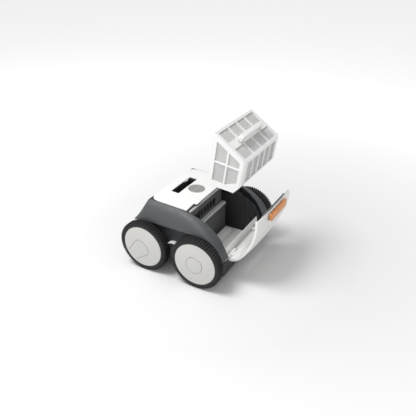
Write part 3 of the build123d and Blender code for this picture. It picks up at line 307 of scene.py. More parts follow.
@dataclass(frozen=True)
class Metal:
    """Bare metal with fine turning lines along X."""

    name: str
    colour: tuple[float, float, float, float]
    roughness: float = 0.3

    def build(self) -> bpy.types.Material:
        """Make the material."""
        sheet = NodeSheet(self.name)
        lines = sheet.placed(Vector((0, 0, 0)), Vector((14.0, 1.0, 1.0)))
        streaks = sheet.noise(260.0, 4.0, lines)
        colour = sheet.blend(sheet.ranged(streaks, 0.0, 1.0), shaded(self.colour, 0.88), self.colour)
        sheet.link(colour, sheet.shader.inputs["Base Color"])
        gloss = sheet.ranged(streaks, self.roughness - 0.08, self.roughness + 0.14)
        sheet.link(gloss, sheet.shader.inputs["Roughness"])
        sheet.shader.inputs["Metallic"].default_value = 1.0
        sheet.bump([(streaks, 0.02)])
        return sheet.material


@dataclass(frozen=True)
class Weave:
    """Fine filter mesh: threads along and across the basket, with darker holes between them."""

    name: str
    thread: tuple[float, float, float, float]
    hole: tuple[float, float, float, float]
    lean: float
    pitch: float = 1.3

    def build(self) -> bpy.types.Material:
        """Make the material."""
        sheet = NodeSheet(self.name)
        waves = math.tau / (self.pitch * MM) / WAVE_RATE
        local = sheet.placed(Vector((-self.lean, 0, 0)), Vector((1, 1, 1)))
        heights = []
        for direction in ("X", "Y", "Z"):
            wave = sheet.add("ShaderNodeTexWave", bands_direction=direction, Scale=waves)
            sheet.link(local, wave.inputs["Vector"])
            heights.append(wave.outputs["Fac"])
        grid = heights[0]
        for height in heights[1:]:
            top = sheet.add("ShaderNodeMath", operation="MAXIMUM")
            sheet.link(grid, top.inputs[0])
            sheet.link(height, top.inputs[1])
            grid = top.outputs[0]
        threads = sheet.ranged(grid, 0.0, 1.0, 0.35, 0.8)
        weave = sheet.blend(threads, self.hole, self.thread)
        drift = sheet.ranged(sheet.noise(14.0, 4.0), 0.86, 1.0)
        toned = sheet.add("ShaderNodeMix", data_type="RGBA", blend_type="MULTIPLY")
        toned.inputs["Factor"].default_value = 1.0
        sheet.link(weave, toned.inputs[6])
        sheet.link(drift, toned.inputs[7])
        sheet.link(toned.outputs[2], sheet.shader.inputs["Base Color"])
        sheet.shader.inputs["Roughness"].default_value = 0.6
        sheet.bump([(grid, 0.15)])
        return sheet.material


Finish = Plastic | Rubber | Metal | Weave

BASKET_TILT = math.radians(8.0)
SHELL_GREY = Plastic("finish_shell", tint(78, 81, 83), roughness=0.5, drift=0.07)
CHASSIS_DARK = Plastic("finish_chassis", tint(52, 54, 57), roughness=0.55)
LINER_DARK = Plastic("finish_liner", tint(40, 41, 43), roughness=0.6)
UNIT_DARK = Plastic("finish_unit", tint(104, 105, 107), roughness=0.5)
LEDGE_GREY = Plastic("finish_ledge", tint(228, 228, 227), roughness=0.45)
FLOOR_GREY = Plastic("finish_floor", tint(214, 214, 213), roughness=0.5)
INTAKE_LIGHT = Plastic("finish_intake", tint(236, 236, 234), roughness=0.45)
SILL_GREY = Plastic("finish_sill", tint(238, 238, 236), roughness=0.45)
PANEL_WHITE = Plastic("finish_panel", tint(240, 240, 239), roughness=0.32, drift=0.03, coat=0.2)
LID_WHITE = Plastic("finish_lid", tint(238, 238, 236), roughness=0.35, drift=0.03, coat=0.15)
BASKET_WHITE = Plastic("finish_basket", tint(236, 236, 235), roughness=0.3, drift=0.03, coat=0.3)
HUB_GREY = Plastic("finish_hub", tint(204, 203, 200), roughness=0.4, drift=0.04, grain=0.03)
GRILLE_GREY = Plastic("finish_grille", tint(168, 168, 166), roughness=0.5)
GEAR_WHITE = Plastic("finish_gear", tint(228, 227, 224), roughness=0.5)
GEAR_DARK = Plastic("finish_wheel_gear", tint(48, 49, 51), roughness=0.55)
LATCH_ORANGE = Plastic("finish_latch", tint(222, 145, 78), roughness=0.38, drift=0.07, coat=0.15)
TYRE_BLACK = Rubber("finish_tyre", tint(40, 40, 41), tint(62, 61, 59))
SEAL_GREY = Rubber("finish_seal", tint(128, 128, 127), tint(150, 150, 148), roughness=0.6)
STEEL = Metal("finish_steel", tint(186, 187, 189))
MOTOR_METAL = Metal("finish_motor", tint(150, 151, 153), roughness=0.38)
BOARD_GREEN = Plastic("finish_board", tint(34, 92, 58), roughness=0.4, drift=0.2)
MESH_GREY = Weave("finish_mesh", tint(214, 214, 213), tint(158, 158, 158), BASKET_TILT)


class Palette:
    """Materials made once each."""

    def __init__(self) -> None:
        """Start with no materials."""
        self.made: dict[str, bpy.types.Material] = {}

    def of(self, finish: Finish) -> bpy.types.Material:
        """The material of a finish, made the first time."""
        if finish.name not in self.made:
            self.made[finish.name] = finish.build()
        return self.made[finish.name]


# --------------------------------------------------------------------------------------- placing
@dataclass
class Datum:
    """Where the drawing frame lies in the row frame."""

    shift_y: float

    AXLES_Y = 9.65

    @classmethod
    def from_axles(cls) -> "Datum":
        """Find the frame from the middle of the four axles."""
        low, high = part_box("wheel_axles")
        return cls((low.y + high.y) / 2 - cls.AXLES_Y * MM)

    def at(self, x: float, y: float, z: float) -> Vector:
        """A drawing point in metres in the row frame."""
        return Vector((x * MM, y * MM + self.shift_y, z * MM))

    def matrix(self) -> Matrix:
        """Transform from drawing millimetres to row-frame metres."""
        return Matrix.Translation((0, self.shift_y, 0)) @ Matrix.Scale(MM, 4)


@dataclass
class Workshop:
    """Turns finished bmeshes into pieces that ride on the cleaner."""

    frame: dict
    palette: Palette
    datum: Datum
    count: int = 0

    def joint(self, name: str) -> dict:
        """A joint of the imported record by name."""
        return next(j for j in self.frame["joints"] if j["name"] == name)

    def body_of(self, node: str) -> str:
        """The body that a CAD node rides on."""
        return self.frame["nodes"][node]["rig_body"]

    def deliver(self, name: str, bm: bmesh.types.BMesh, finish: Finish, stands_for: Sequence[str],
                bevel: float = 0.0, smooth: float = 35.0) -> bpy.types.Object:
        """Make the object for a bmesh that is in row-frame metres.

        Args:
            name: Name of the piece.
            bm: The finished mesh, which is freed.
            finish: Its finish.
            stands_for: CAD nodes that it replaces; it rides on the first one's body.
            bevel: Width in millimetres of a live bevel on its sharp edges.
            smooth: Edges sharper than this many degrees stay sharp.

        Returns:
            The new object.
        """
        mesh = bpy.data.meshes.new(name)
        bm.to_mesh(mesh)
        bm.free()
        mesh.shade_smooth()
        mesh.set_sharp_from_angle(angle=math.radians(smooth))
        piece = bpy.data.objects.new(name, mesh)
        bpy.context.scene.collection.objects.link(piece)
        mesh.materials.append(self.palette.of(finish))
        if bevel > 0:
            softer = piece.modifiers.new("softened_edges", "BEVEL")
            softer.width = bevel * MM
            softer.segments = 2
            softer.limit_method = "ANGLE"
            softer.angle_limit = math.radians(38)
            softer.harden_normals = True
            softer.use_clamp_overlap = True
        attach(piece, self.body_of(stands_for[0]))
        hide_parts(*stands_for)
        self.count += 1
        LOG.info("piece %s: %d faces, rides on %s", name, len(mesh.polygons), self.body_of(stands_for[0]))
        return piece

    def refine(self, node: str, name: str, finish: Finish, bevel: float) -> bpy.types.Object:
        """Stand a softened copy in for a CAD node whose shape is right but whose edges are hard.

        Args:
            node: The CAD node.
            name: Name of the new piece.
            finish: Its finish.
            bevel: Bevel width in millimetres.

        Returns:
            The new object.
        """
        bm = bmesh.new()
        bm.from_mesh(self.frame["nodes"][node].data)
        bmesh.ops.remove_doubles(bm, verts=bm.verts, dist=2e-5)
        bmesh.ops.dissolve_limit(bm, angle_limit=math.radians(0.8), verts=bm.verts, edges=bm.edges)
        if node == "basket_frame":
            round_front_posts(bm)
        if node == "latch_lever":
            bm = scalloped(bm)
        return self.deliver(name, bm, finish, [node], bevel=bevel)

    def dress(self, node: str, finish: Finish) -> None:
        """Give a CAD node that stays its finish."""
        piece = self.frame["nodes"][node]
        piece.data.materials.clear()
        piece.data.materials.append(self.palette.of(finish))
        LOG.info("CAD node %s keeps its shape, finish %s", node, finish.name)


# --------------------------------------------------------------------------------------- mesh helpers
def profile(
    bm: bmesh.types.BMesh, points: Sequence[Point], closed: bool = False
) -> list[bmesh.types.BMVert | bmesh.types.BMEdge]:
    """A wire of edges in the X-radius plane.

    Args:
        bm: Mesh to add to.
        points: X and radius pairs.
        closed: Whether the last point joins the first.

    Returns:
        The new vertices and edges.
    """
    verts = [bm.verts.new((x, 0.0, r)) for x, r in points]
    pairs = list(zip(verts, verts[1:]))
    if closed:
        pairs.append((verts[-1], verts[0]))
    return [*verts, *[bm.edges.new(pair) for pair in pairs]]


def turned(points: Sequence[Point], steps: int, closed: bool = False) -> bmesh.types.BMesh:
    """A profile spun all the way round the X axis.

    Args:
        points: X and radius pairs.
        steps: Facets round the turn.
        closed: Whether the profile is a closed loop.

    Returns:
        The new mesh.
    """
    bm = bmesh.new()
    wire = profile(bm, points, closed)
    bmesh.ops.spin(bm, geom=wire, cent=(0, 0, 0), axis=(1, 0, 0), angle=math.tau, steps=steps, use_merge=True,
                   use_normal_flip=False, use_duplicate=False)
    bmesh.ops.remove_doubles(bm, verts=bm.verts, dist=1e-4)
    bmesh.ops.recalc_face_normals(bm, faces=bm.faces)
    return bm


def mapped_sheet(columns: int, rows: int, shape: Callable[[float, float], Vector]) -> bmesh.types.BMesh:
    """A grid whose points are moved by a function of their place from 0 to 1 both ways.

    Args:
        columns: Faces along the first direction.
        rows: Faces along the second direction.
        shape: Gives the point for a place on the sheet.

    Returns:
        The new mesh.
    """
    bm = bmesh.new()
    bmesh.ops.create_grid(bm, x_segments=columns, y_segments=rows, size=0.5)
    for vert in bm.verts:
        vert.co = shape(vert.co.x + 0.5, vert.co.y + 0.5)
    bmesh.ops.recalc_face_normals(bm, faces=bm.faces)
    return bm


def round_front_posts(bm: bmesh.types.BMesh) -> None:
    """Round the basket frame's two long front corners.

    Args:
        bm: The frame's mesh in row-frame metres.
    """
    side = max(v.co.x for v in bm.verts)
    middle = sum(v.co.y for v in bm.verts) / len(bm.verts)
    posts = []
    for edge in bm.edges:
        a, b = (v.co for v in edge.verts)
        outside = min(abs(a.x), abs(b.x)) > side - 0.3 * MM
        length = (a - b).length
        upright = abs(a.z - b.z) > 0.9 * length and length > POST_LEAST_LENGTH * MM
        sharp = len(edge.link_faces) == 2 and edge.calc_face_angle(0.0) > math.radians(80)
        if outside and upright and sharp and max(a.y, b.y) < middle:
            faces = [abs(f.normal.x) for f in edge.link_faces]
            if max(faces) > 0.9 and min(faces) < 0.1:
                posts.append(edge)
    bmesh.ops.bevel(bm, geom=posts, offset=POST_ROUNDING * MM, segments=6, profile=0.5, affect="EDGES")
    LOG.info("%d post edges rounded", len(posts))


def mirrored(bm: bmesh.types.BMesh, side: Side) -> bmesh.types.BMesh:
    """Mirror a right-hand mesh for the left side and keep its faces outward."""
    if side is Side.LEFT:
        bmesh.ops.scale(bm, vec=(-1, 1, 1), verts=bm.verts)
        bmesh.ops.reverse_faces(bm, faces=bm.faces)
    return bm


class Track:
    """A smooth line through points in Y-Z, followed from 0 to 1."""

    def __init__(self, points: Sequence[Point]) -> None:
        """Measure the line.

        Args:
            points: Points that the line passes through.
        """
        self.points = [Vector(p) for p in points]
        gaps = [(b - a).length for a, b in zip(self.points, self.points[1:])]
        self.marks = [sum(gaps[:i]) / sum(gaps) for i in range(len(gaps) + 1)]

    def at(self, share: float) -> Vector:
        """The point a share of the way along, on a rounded path through the points."""
        last = len(self.points) - 2
        index = min(last, max(0, sum(1 for m in self.marks[1:-1] if m <= share)))
        p1, p2 = self.points[index], self.points[index + 1]
        p0 = self.points[index - 1] if index > 0 else p1 * 2 - p2
        p3 = self.points[index + 2] if index < last else p2 * 2 - p1
        t = (share - self.marks[index]) / (self.marks[index + 1] - self.marks[index])
        return 0.5 * (2 * p1 + (p2 - p0) * t + (2 * p0 - 5 * p1 + 4 * p2 - p3) * t**2
                      + (3 * p1 - p0 - 3 * p2 + p3) * t**3)


# --------------------------------------------------------------------------------------- wheels
@dataclass
class Wheel:
    """One wheel: ribbed tyre, crowned hub with its groove, and the gear behind it."""

    side: Side
    axle: str
    mark: HubMark
    outer_radius: float = 84.4
    hub_radius: float = 68.0
    outer_x: float = 194.0
    inner_x: float = 168.0
    face_x: float = 198.0
    ribs: int = 64
    rib_height: float = 4.0
    groove_radius: float = 27.0
    groove_width: float = 2.2
    groove_depth: float = 2.2

    def centre(self) -> Vector:
        """The axle's place in metres, on the symmetry plane."""
        low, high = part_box(f"tyre_{self.axle}_{self.side.word}")
        return Vector((0, (low.y + high.y) / 2, (low.z + high.z) / 2))

    def crown(self, radius: float) -> float:
        """X of the crowned face at a radius."""
        rise = self.face_x - self.outer_x
        sphere = (self.hub_radius**2 / rise + rise) / 2
        return self.face_x - sphere + math.sqrt(sphere**2 - radius**2)

    def tread_line(self, lift: float) -> list[Point]:
        """Outline of the tread over its rounded shoulders, lift below the full radius."""
        top = self.outer_radius - lift
        line: list[Point] = [(self.outer_x - lift * 0.5, top - SHOULDER_FOOT)]
        corners = ((0, self.outer_x - SHOULDER_RADIUS - lift * 0.5),
                   (90, self.inner_x + SHOULDER_RADIUS + lift * 0.5))
        for start, middle in corners:
            for step in range(5):
                turn = math.radians(start + 90 * step / 4)
                line.append((middle + SHOULDER_RADIUS * math.cos(turn),
                             top - SHOULDER_RADIUS + SHOULDER_RADIUS * math.sin(turn)))
        line.append((self.inner_x + lift * 0.5, top - SHOULDER_FOOT))
        return line

    def tyre(self) -> bmesh.types.BMesh:
        """Tyre with a stepped sidewall and ribs across its tread and shoulders."""
        low = self.hub_radius - 0.2
        outer_wall = [(self.outer_x - 2.4, low), (self.outer_x - 0.2, low + 0.6), (self.outer_x, low + 2.4),
                      (self.outer_x - 0.1, low + 5.2), (self.outer_x - 1.1, low + 5.9)]
        inner_wall = [(self.inner_x + 1.0, low + 5.0), (self.inner_x, low + 3.0), (self.inner_x + 0.5, low)]
        bm = turned([*outer_wall, *self.tread_line(0.0), *inner_wall], self.ribs * STEPS_PER_RIB, closed=True)
        self.press_grooves(bm)
        return bm

    def press_grooves(self, bm: bmesh.types.BMesh) -> None:
        """Press the tread in between the ribs, fading out down the sidewalls.

        Args:
            bm: The plain tyre, in millimetres about its own axle.
        """
        foot = self.outer_radius - 9.0
        middle = (self.outer_x + self.inner_x) / 2
        turn = math.tau / (self.ribs * STEPS_PER_RIB)
        for vert in bm.verts:
            radius = math.hypot(vert.co.y, vert.co.z)
            step = round(math.atan2(vert.co.z, vert.co.y) / turn) % STEPS_PER_RIB
            if radius < foot or step < STEPS_PER_RIB // 2:
                continue
            depth = self.rib_height * min(1.0, (radius - foot) / 3.0)
            vert.co.y *= 1 - depth / radius
            vert.co.z *= 1 - depth / radius
            if radius < self.outer_radius - 0.5:
                vert.co.x += math.copysign(0.4 * depth, middle - vert.co.x)

    def face_profile(self) -> list[Point]:
        """Hub section from the middle of its face out over the rim to the back."""
        points: list[Point] = [(self.crown(0.0), 0.0)]
        notch = []
        if self.mark is HubMark.ROUND:
            half = self.groove_width / 2
            notch = [(self.groove_radius - half, 0.0), (self.groove_radius - half * 0.6, self.groove_depth),
                     (self.groove_radius + half * 0.6, self.groove_depth), (self.groove_radius + half, 0.0)]
        radii = [r for r in range(4, 66, 4) if not notch or abs(r - self.groove_radius) > self.groove_width]
        stops = sorted([(float(r), 0.0) for r in radii] + notch)
        points += [(self.crown(r) - depth, r) for r, depth in stops]
        rim = self.hub_radius
        points += [(self.crown(rim - 1.2) - 0.1, rim - 1.2), (self.outer_x - 0.7, rim - 0.25),
                   (self.outer_x - 2.0, rim), (self.inner_x, rim), (self.inner_x, rim - 3.0),
                   (self.outer_x - 4.0, rim - 3.0), (self.outer_x - 4.0, 12.0), (self.inner_x, 12.0),
                   (self.inner_x, 6.05), (self.outer_x - 4.0, 6.05), (self.outer_x - 4.0, 0.0)]
        return points

    def shield_line(self) -> list[Point]:
        """The shield groove's line in the wheel's Y-Z: a broad rounded head and two legs to the rim."""
        along, across = Vector((0.72, -0.69)), Vector((0.69, 0.72))
        half = [(54.0, 20.5), (40.0, 22.8), (26.0, 25.2), (12.0, 27.6), (2.0, 28.9),
                (-6.0, 28.0), (-12.5, 23.5), (-16.6, 17.0), (-19.0, 9.0)]
        line = [*half, (-19.8, 0.0), *[(a, -b) for a, b in reversed(half)]]
        return [tuple(along * a + across * b) for a, b in line]

    def shield_cutter(self) -> bmesh.types.BMesh:
        """Thin wall along the shield line whose foot follows the hub's crown."""
        bm = bmesh.new()
        line = [(y, z) for y, z in self.shield_line()]
        foot = [bm.verts.new((self.crown(math.hypot(y, z)) - self.groove_depth, y, z)) for y, z in line]
        edges = [bm.edges.new(pair) for pair in zip(foot, foot[1:])]
        lifted = bmesh.ops.extrude_edge_only(bm, edges=edges)
        tops = [v for v in lifted["geom"] if isinstance(v, bmesh.types.BMVert)]
        bmesh.ops.translate(bm, vec=(8.0, 0, 0), verts=tops)
        bmesh.ops.recalc_face_normals(bm, faces=bm.faces)
        bmesh.ops.solidify(bm, geom=bm.faces[:], thickness=self.groove_width)
        bmesh.ops.recalc_face_normals(bm, faces=bm.faces)
        return bm

    def place(self, bm: bmesh.types.BMesh) -> bmesh.types.BMesh:
        """Mirror if needed and move to the axle, in metres."""
        mirrored(bm, self.side)
        to_axle = Matrix.Translation(self.centre()) @ Matrix.Scale(MM, 4)
        bmesh.ops.transform(bm, matrix=to_axle, verts=bm.verts)
        return bm

    def make(self, shop: Workshop) -> None:
        """Build and dress the wheel."""
        tail = f"{self.axle}_{self.side.word}"
        tyre = self.place(self.tyre())
        shop.deliver(f"ribbed_tyre_{tail}", tyre, TYRE_BLACK, [f"tyre_{tail}"], smooth=30)
        face = turned(self.face_profile(), 128, closed=False)
        if self.mark is HubMark.SHIELD:
            face = cut(face, self.shield_cutter())
        nodes = [f"hub_{tail}", f"hub_cap_{tail}"]
        shop.deliver(f"crowned_hub_{tail}", self.place(face), HUB_GREY, nodes, smooth=28)
        shop.dress(f"wheel_gear_{tail}", GEAR_DARK)


def cut(body: bmesh.types.BMesh, tool: bmesh.types.BMesh) -> bmesh.types.BMesh:
    """Cut one mesh out of another.

    Args:
        body: Mesh to cut, which is freed.
        tool: Closed cutter, which is freed.

    Returns:
        The cut mesh.
    """
    objects = []
    for name, bm in (("cut_body", body), ("cut_tool", tool)):
        mesh = bpy.data.meshes.new(name)
        bm.to_mesh(mesh)
        bm.free()
        objects.append(bpy.data.objects.new(name, mesh))
        bpy.context.scene.collection.objects.link(objects[-1])
    knife = objects[0].modifiers.new("knife", "BOOLEAN")
    knife.object = objects[1]
    knife.operation = "DIFFERENCE"
    knife.solver = "EXACT"
    ready = objects[0].evaluated_get(bpy.context.evaluated_depsgraph_get())
    result = bmesh.new()
    result.from_mesh(ready.to_mesh())
    for piece in objects:
        bpy.data.objects.remove(piece, do_unlink=True)
    return result


def scalloped(bm: bmesh.types.BMesh) -> bmesh.types.BMesh:
    """Cut finger scallops into the latch lever's upper edge.

    Args:
        bm: The lever's mesh in row-frame metres, which is freed.

    Returns:
        The scalloped lever.
    """
    broad = max(bm.faces, key=lambda f: f.calc_area())
    out = broad.normal.copy()
    upward = out.cross(Vector((1, 0, 0))).normalized()
    upward = upward if upward.z > 0 else -upward
    edge = max(v.co.dot(upward) for v in bm.verts)
    level = broad.calc_center_median().dot(out)
    turn = out.to_track_quat("Z", "X").to_matrix().to_4x4()
    tool = bmesh.new()
    for number in range(SCALLOPS):
        across = (number - (SCALLOPS - 1) / 2) * SCALLOP_PITCH * MM
        middle = Vector((across, 0, 0)) + upward * (edge + SCALLOP_RISE * MM) + out * level
        bmesh.ops.create_cone(tool, cap_ends=True, segments=28, radius1=SCALLOP_RADIUS * MM,
                              radius2=SCALLOP_RADIUS * MM, depth=SCALLOP_REACH * MM,
                              matrix=Matrix.Translation(middle) @ turn)
    return cut(bm, tool)


# --------------------------------------------------------------------------------------- shells
@dataclass
class SideShell:
    """Dark side shell: one convex sheet from the top panel out to its lower edge, arched at the front."""

    side: Side
    inner_x: float = 127.5
    outer_x: float = 163.0
    bulge: float = 0.6
    wall: float = 2.6
    tab_low: tuple[float, float, float] = (110.0, 100.0, 207.0)
    tab_high: tuple[float, float, float] = (128.6, 119.5, 215.0)
    top_line: tuple[Point, ...] = (
        (-160.5, 97.5), (-154.8, 111.0), (-134.5, 148.0), (-111.0, 172.5), (-84.0, 190.5), (-50.0, 203.5),
        (-13.6, 212.0), (30.0, 214.6), (75.0, 216.6), (109.0, 217.6), (119.0, 213.5), (130.0, 197.0),
        (141.0, 176.5), (149.0, 162.5),
    )
    edge_line: tuple[Point, ...] = (
        (-160.0, 97.3), (-156.5, 109.0), (-146.0, 128.5), (-131.0, 144.6), (-113.0, 155.8), (-92.0, 161.2),
        (-60.0, 161.6), (0.0, 161.4), (60.0, 161.4), (105.0, 161.0), (122.0, 159.5), (135.0, 157.5),
        (145.0, 156.0), (151.0, 155.5),
    )

    def surface(self, top: Track, edge: Track) -> Callable[[float, float], Vector]:
        """Gives the sheet's point for a place along it and a place out from its top edge."""
        marks = len(self.top_line) - 1

        def point(u: float, v: float) -> Vector:
            """Between matching places on the two lines, bulged outwards."""
            index = min(marks - 1, int(u * marks))
            share = u * marks - index
            ends = []
            for track in (top, edge):
                a, b = track.marks[index], track.marks[index + 1]
                ends.append(track.at(min(0.99999, a + (b - a) * share)))
            turn = v * math.pi / 2
            out = self.bulge * math.sin(turn) + (1 - self.bulge) * v
            down = self.bulge * (1 - math.cos(turn)) + (1 - self.bulge) * v
            y, z = ends[0].lerp(ends[1], down)
            return Vector((self.inner_x + (self.outer_x - self.inner_x) * out, y, z))

        return point

    def add_corner_tab(self, bm: bmesh.types.BMesh, datum: Datum) -> None:
        """Add the tab that carries on under the panel's rounded rear corner.

        Args:
            bm: The shell in row-frame metres.
            datum: Where the drawing frame lies.
        """
        low, high = Vector(self.tab_low), Vector(self.tab_high)
        size = (high - low) * MM
        middle = (low + high) / 2
        place = Matrix.Translation(datum.at(middle.x * self.side.value, middle.y, middle.z))
        bmesh.ops.create_cube(bm, size=1.0, matrix=place @ Matrix.Diagonal((*size, 1.0)))

    def make(self, shop: Workshop) -> None:
        """Build and dress the shell."""
        bm = mapped_sheet(104, 22, self.surface(Track(self.top_line), Track(self.edge_line)))
        if sum((f.normal.z + f.normal.x) for f in bm.faces) < 0:
            bmesh.ops.reverse_faces(bm, faces=bm.faces)
        bmesh.ops.solidify(bm, geom=bm.faces[:], thickness=self.wall)
        mirrored(bm, self.side)
        bmesh.ops.transform(bm, matrix=shop.datum.matrix(), verts=bm.verts)
        self.add_corner_tab(bm, shop.datum)
        word = self.side.word
        shop.deliver(f"side_skin_{word}", bm, SHELL_GREY,
                     [f"side_shell_{word}"], bevel=0.8)


# --------------------------------------------------------------------------------------- lid
@dataclass
class LidLiner:
    """Smooth inner face of the lid, drawn closed and swung open, with a lip that narrows the hinge slot."""

    half_width: float = 117.2
    depth: float = 6.2
    wall: float = 1.4
    reach: float = 0.6
    lip_half: float = 60.0
    hinge: Point = (-150.0, 82.0)
    swing: float = math.radians(72.0)
    outline: tuple[Point, ...] = (
        (-154.85, 90.0), (-155.85, 111.8), (-134.9, 150.2), (-87.9, 193.0), (-30.0, 218.0),
    )
    lip: tuple[Point, ...] = ((-157.3, 85.8), (-155.2, 86.4), (-153.2, 86.9))

    def opened(self, y: float, z: float) -> Point:
        """A closed point swung open about the hinge."""
        back, up = y - self.hinge[0], z - self.hinge[1]
        turn, rise = math.cos(self.swing), math.sin(self.swing)
        return back * turn - up * rise + self.hinge[0], back * rise + up * turn + self.hinge[1]

    def inner_line(self) -> list[Point]:
        """The liner's line inside the skin, already open."""
        track = Track(self.outline)
        line = []
        for step in range(25):
            share = self.reach * step / 24
            here, ahead = track.at(share), track.at(share + 0.01)
            along = (ahead - here).normalized()
            line.append(self.opened(here.x + along.y * self.depth, here.y - along.x * self.depth))
        return line

    def sheet(self, line: Sequence[Point], half: float) -> bmesh.types.BMesh:
        """A line swept across the lid and given its wall."""
        last = len(line) - 1

        def place(u: float, v: float) -> Vector:
            """Point of the sheet across and along."""
            y, z = line[round(v * last)]
            return Vector((half * (2 * u - 1), y, z))

        bm = mapped_sheet(12, last, place)
        bmesh.ops.solidify(bm, geom=bm.faces[:], thickness=self.wall)
        bmesh.ops.recalc_face_normals(bm, faces=bm.faces)
        return bm

    def make(self, shop: Workshop) -> None:
        """Build and dress the liner and its lip."""
        pieces = (("lid_liner", self.inner_line(), self.half_width), ("lid_lip", self.lip, self.lip_half))
        for name, line, half in pieces:
            bm = self.sheet(line, half)
            bmesh.ops.transform(bm, matrix=shop.datum.matrix(), verts=bm.verts)
            shop.deliver(name, bm, LID_WHITE, ["lid_shell"], bevel=0.4)


# --------------------------------------------------------------------------------------- handle
@dataclass
class CarryHandle:
    """Arched bar handle that the basket hangs from, with a deep plain bar."""

    half_length: float = 65.0
    half_width: float = 7.0
    bar_top: float = 13.0
    bar_low: float = 1.5
    end_radius: float = 9.0
    leg: float = 9.0
    eye_radius: float = 5.2
    slope: float = math.radians(27.4)

    def outline(self) -> list[Point]:
        """The handle seen along its width: a flat arch with rounded shoulders and short legs."""
        points = []
        for start, x in ((0, 1), (90, -1)):
            for step in range(7):
                turn = math.radians(start + 15 * step)
                points.append((x * (self.half_length - self.end_radius) + self.end_radius * math.cos(turn),
                               self.bar_top - self.end_radius + self.end_radius * math.sin(turn)))
        inner = self.half_length - self.leg
        foot = -self.eye_radius
        return [*points, (-self.half_length, foot), (-inner, foot), (-inner, self.bar_low),
                (inner, self.bar_low), (inner, foot), (self.half_length, foot)]

    def slab(self, points: Sequence[Point], half: float) -> bmesh.types.BMesh:
        """An outline given a thickness about the handle's middle plane, in millimetres."""
        bm = bmesh.new()
        face = bm.faces.new([bm.verts.new((x, -half, z)) for x, z in points])
        pushed = bmesh.ops.extrude_face_region(bm, geom=[face])
        moved = [v for v in pushed["geom"] if isinstance(v, bmesh.types.BMVert)]
        bmesh.ops.translate(bm, vec=(0, 2 * half, 0), verts=moved)
        bmesh.ops.recalc_face_normals(bm, faces=bm.faces)
        return bm

    def make(self, shop: Workshop) -> None:
        """Build and dress the handle about the pins it turns on."""
        low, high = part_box("handle_pins")
        lean = Matrix.Rotation(self.slope, 4, "X")
        place = Matrix.Translation((low + high) / 2) @ lean @ Matrix.Scale(MM, 4)
        bar = self.slab(self.outline(), self.half_width)
        bmesh.ops.transform(bar, matrix=place, verts=bar.verts)
        shop.deliver("carry_handle", bar, BASKET_WHITE, ["lift_handle"], bevel=1.8)


# --------------------------------------------------------------------------------------- stage
@dataclass
class Stage:
    """Pale floor, soft lights and the camera."""

    datum: Datum
    sky_light: float = 0.52

    def floor(self) -> None:
        """A wide pale floor."""
        bm = bmesh.new()
        bmesh.ops.create_grid(bm, x_segments=1, y_segments=1, size=30.0)
        mesh = bpy.data.meshes.new("floor")
        bm.to_mesh(mesh)
        bm.free()
        floor = bpy.data.objects.new("floor", mesh)
        mesh.materials.append(self.backdrop())
        bpy.context.scene.collection.objects.link(floor)

    def backdrop(self) -> bpy.types.Material:
        """Pale matt floor with a painted glow: emission that brightens it to white away from the cleaner."""
        sheet = NodeSheet("finish_stage")
        # Painted glow: the floor emits light that rises with distance from the cleaner, so the far floor
        # reads as a white backdrop.
        far = sheet.add("ShaderNodeVectorMath", operation="LENGTH")
        sheet.link(sheet.coordinates.outputs["Object"], far.inputs[0])
        painted_glow = sheet.ranged(far.outputs["Value"], 0.0, 0.42, 0.45, 1.6)
        sheet.link(painted_glow, sheet.shader.inputs["Emission Strength"])
        sheet.shader.inputs["Emission Color"].default_value = (1.0, 1.0, 1.0, 1.0)
        sheet.shader.inputs["Base Color"].default_value = (0.86, 0.86, 0.86, 1.0)
        sheet.shader.inputs["Roughness"].default_value = 0.8
        return sheet.material

    def area(self, name: str, place: Vector, aim: Vector, size: float, power: float) -> None:
        """One square soft light aimed at a point."""
        lamp = bpy.data.lights.new(name, "AREA")
        lamp.size = size
        lamp.energy = power
        holder = bpy.data.objects.new(name, lamp)
        holder.location = place
        holder.rotation_euler = (aim - place).to_track_quat("-Z", "Y").to_euler()
        bpy.context.scene.collection.objects.link(holder)

    def lights(self) -> None:
        """Key from behind and above on the left, and a soft even sky."""
        aim = self.datum.at(0, 0, 120)
        self.area("key", aim + Vector(KEY_PLACE), aim, 1.1, 47.0)
        self.area("fill", aim + Vector(FILL_PLACE), aim, 1.6, 5.0)
        world = bpy.data.worlds.new("pale_sky")
        bpy.context.scene.world = world
        world.use_nodes = True
        nodes, links = world.node_tree.nodes, world.node_tree.links
        nodes["Background"].inputs["Color"].default_value = (1.0, 1.0, 1.0, 1.0)
        seen = nodes.new("ShaderNodeMapRange")
        seen.inputs["To Min"].default_value = self.sky_light
        links.new(nodes.new("ShaderNodeLightPath").outputs["Is Camera Ray"], seen.inputs["Value"])
        links.new(seen.outputs["Result"], nodes["Background"].inputs["Strength"])

    def camera(self) -> None:
        """The main view: from the front left, looking down at about thirty degrees."""
        eye = bpy.data.cameras.new("camera")
        eye.lens = 41.34
        eye.sensor_width = 36.0
        holder = bpy.data.objects.new("camera", eye)
        low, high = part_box("wheel_axles")
        centre = (low + high) / 2
        holder.location = centre + Vector(EYE_PLACE)
        target = centre + Vector(EYE_TARGET)
        holder.rotation_euler = (target - holder.location).to_track_quat("-Z", "Y").to_euler()
        bpy.context.scene.collection.objects.link(holder)
        bpy.context.scene.camera = holder

    def make(self) -> None:
        """Set the whole stage."""
        self.floor()
        self.lights()
        self.camera()
        bpy.context.scene.view_settings.view_transform = "Standard"


# --------------------------------------------------------------------------------------- list of parts
@dataclass(frozen=True)
class Softened:
    """A CAD node that is stood for by a copy with softened edges."""

    node: str
    finish: Finish
    slot: str
    bevel: float = 0.7


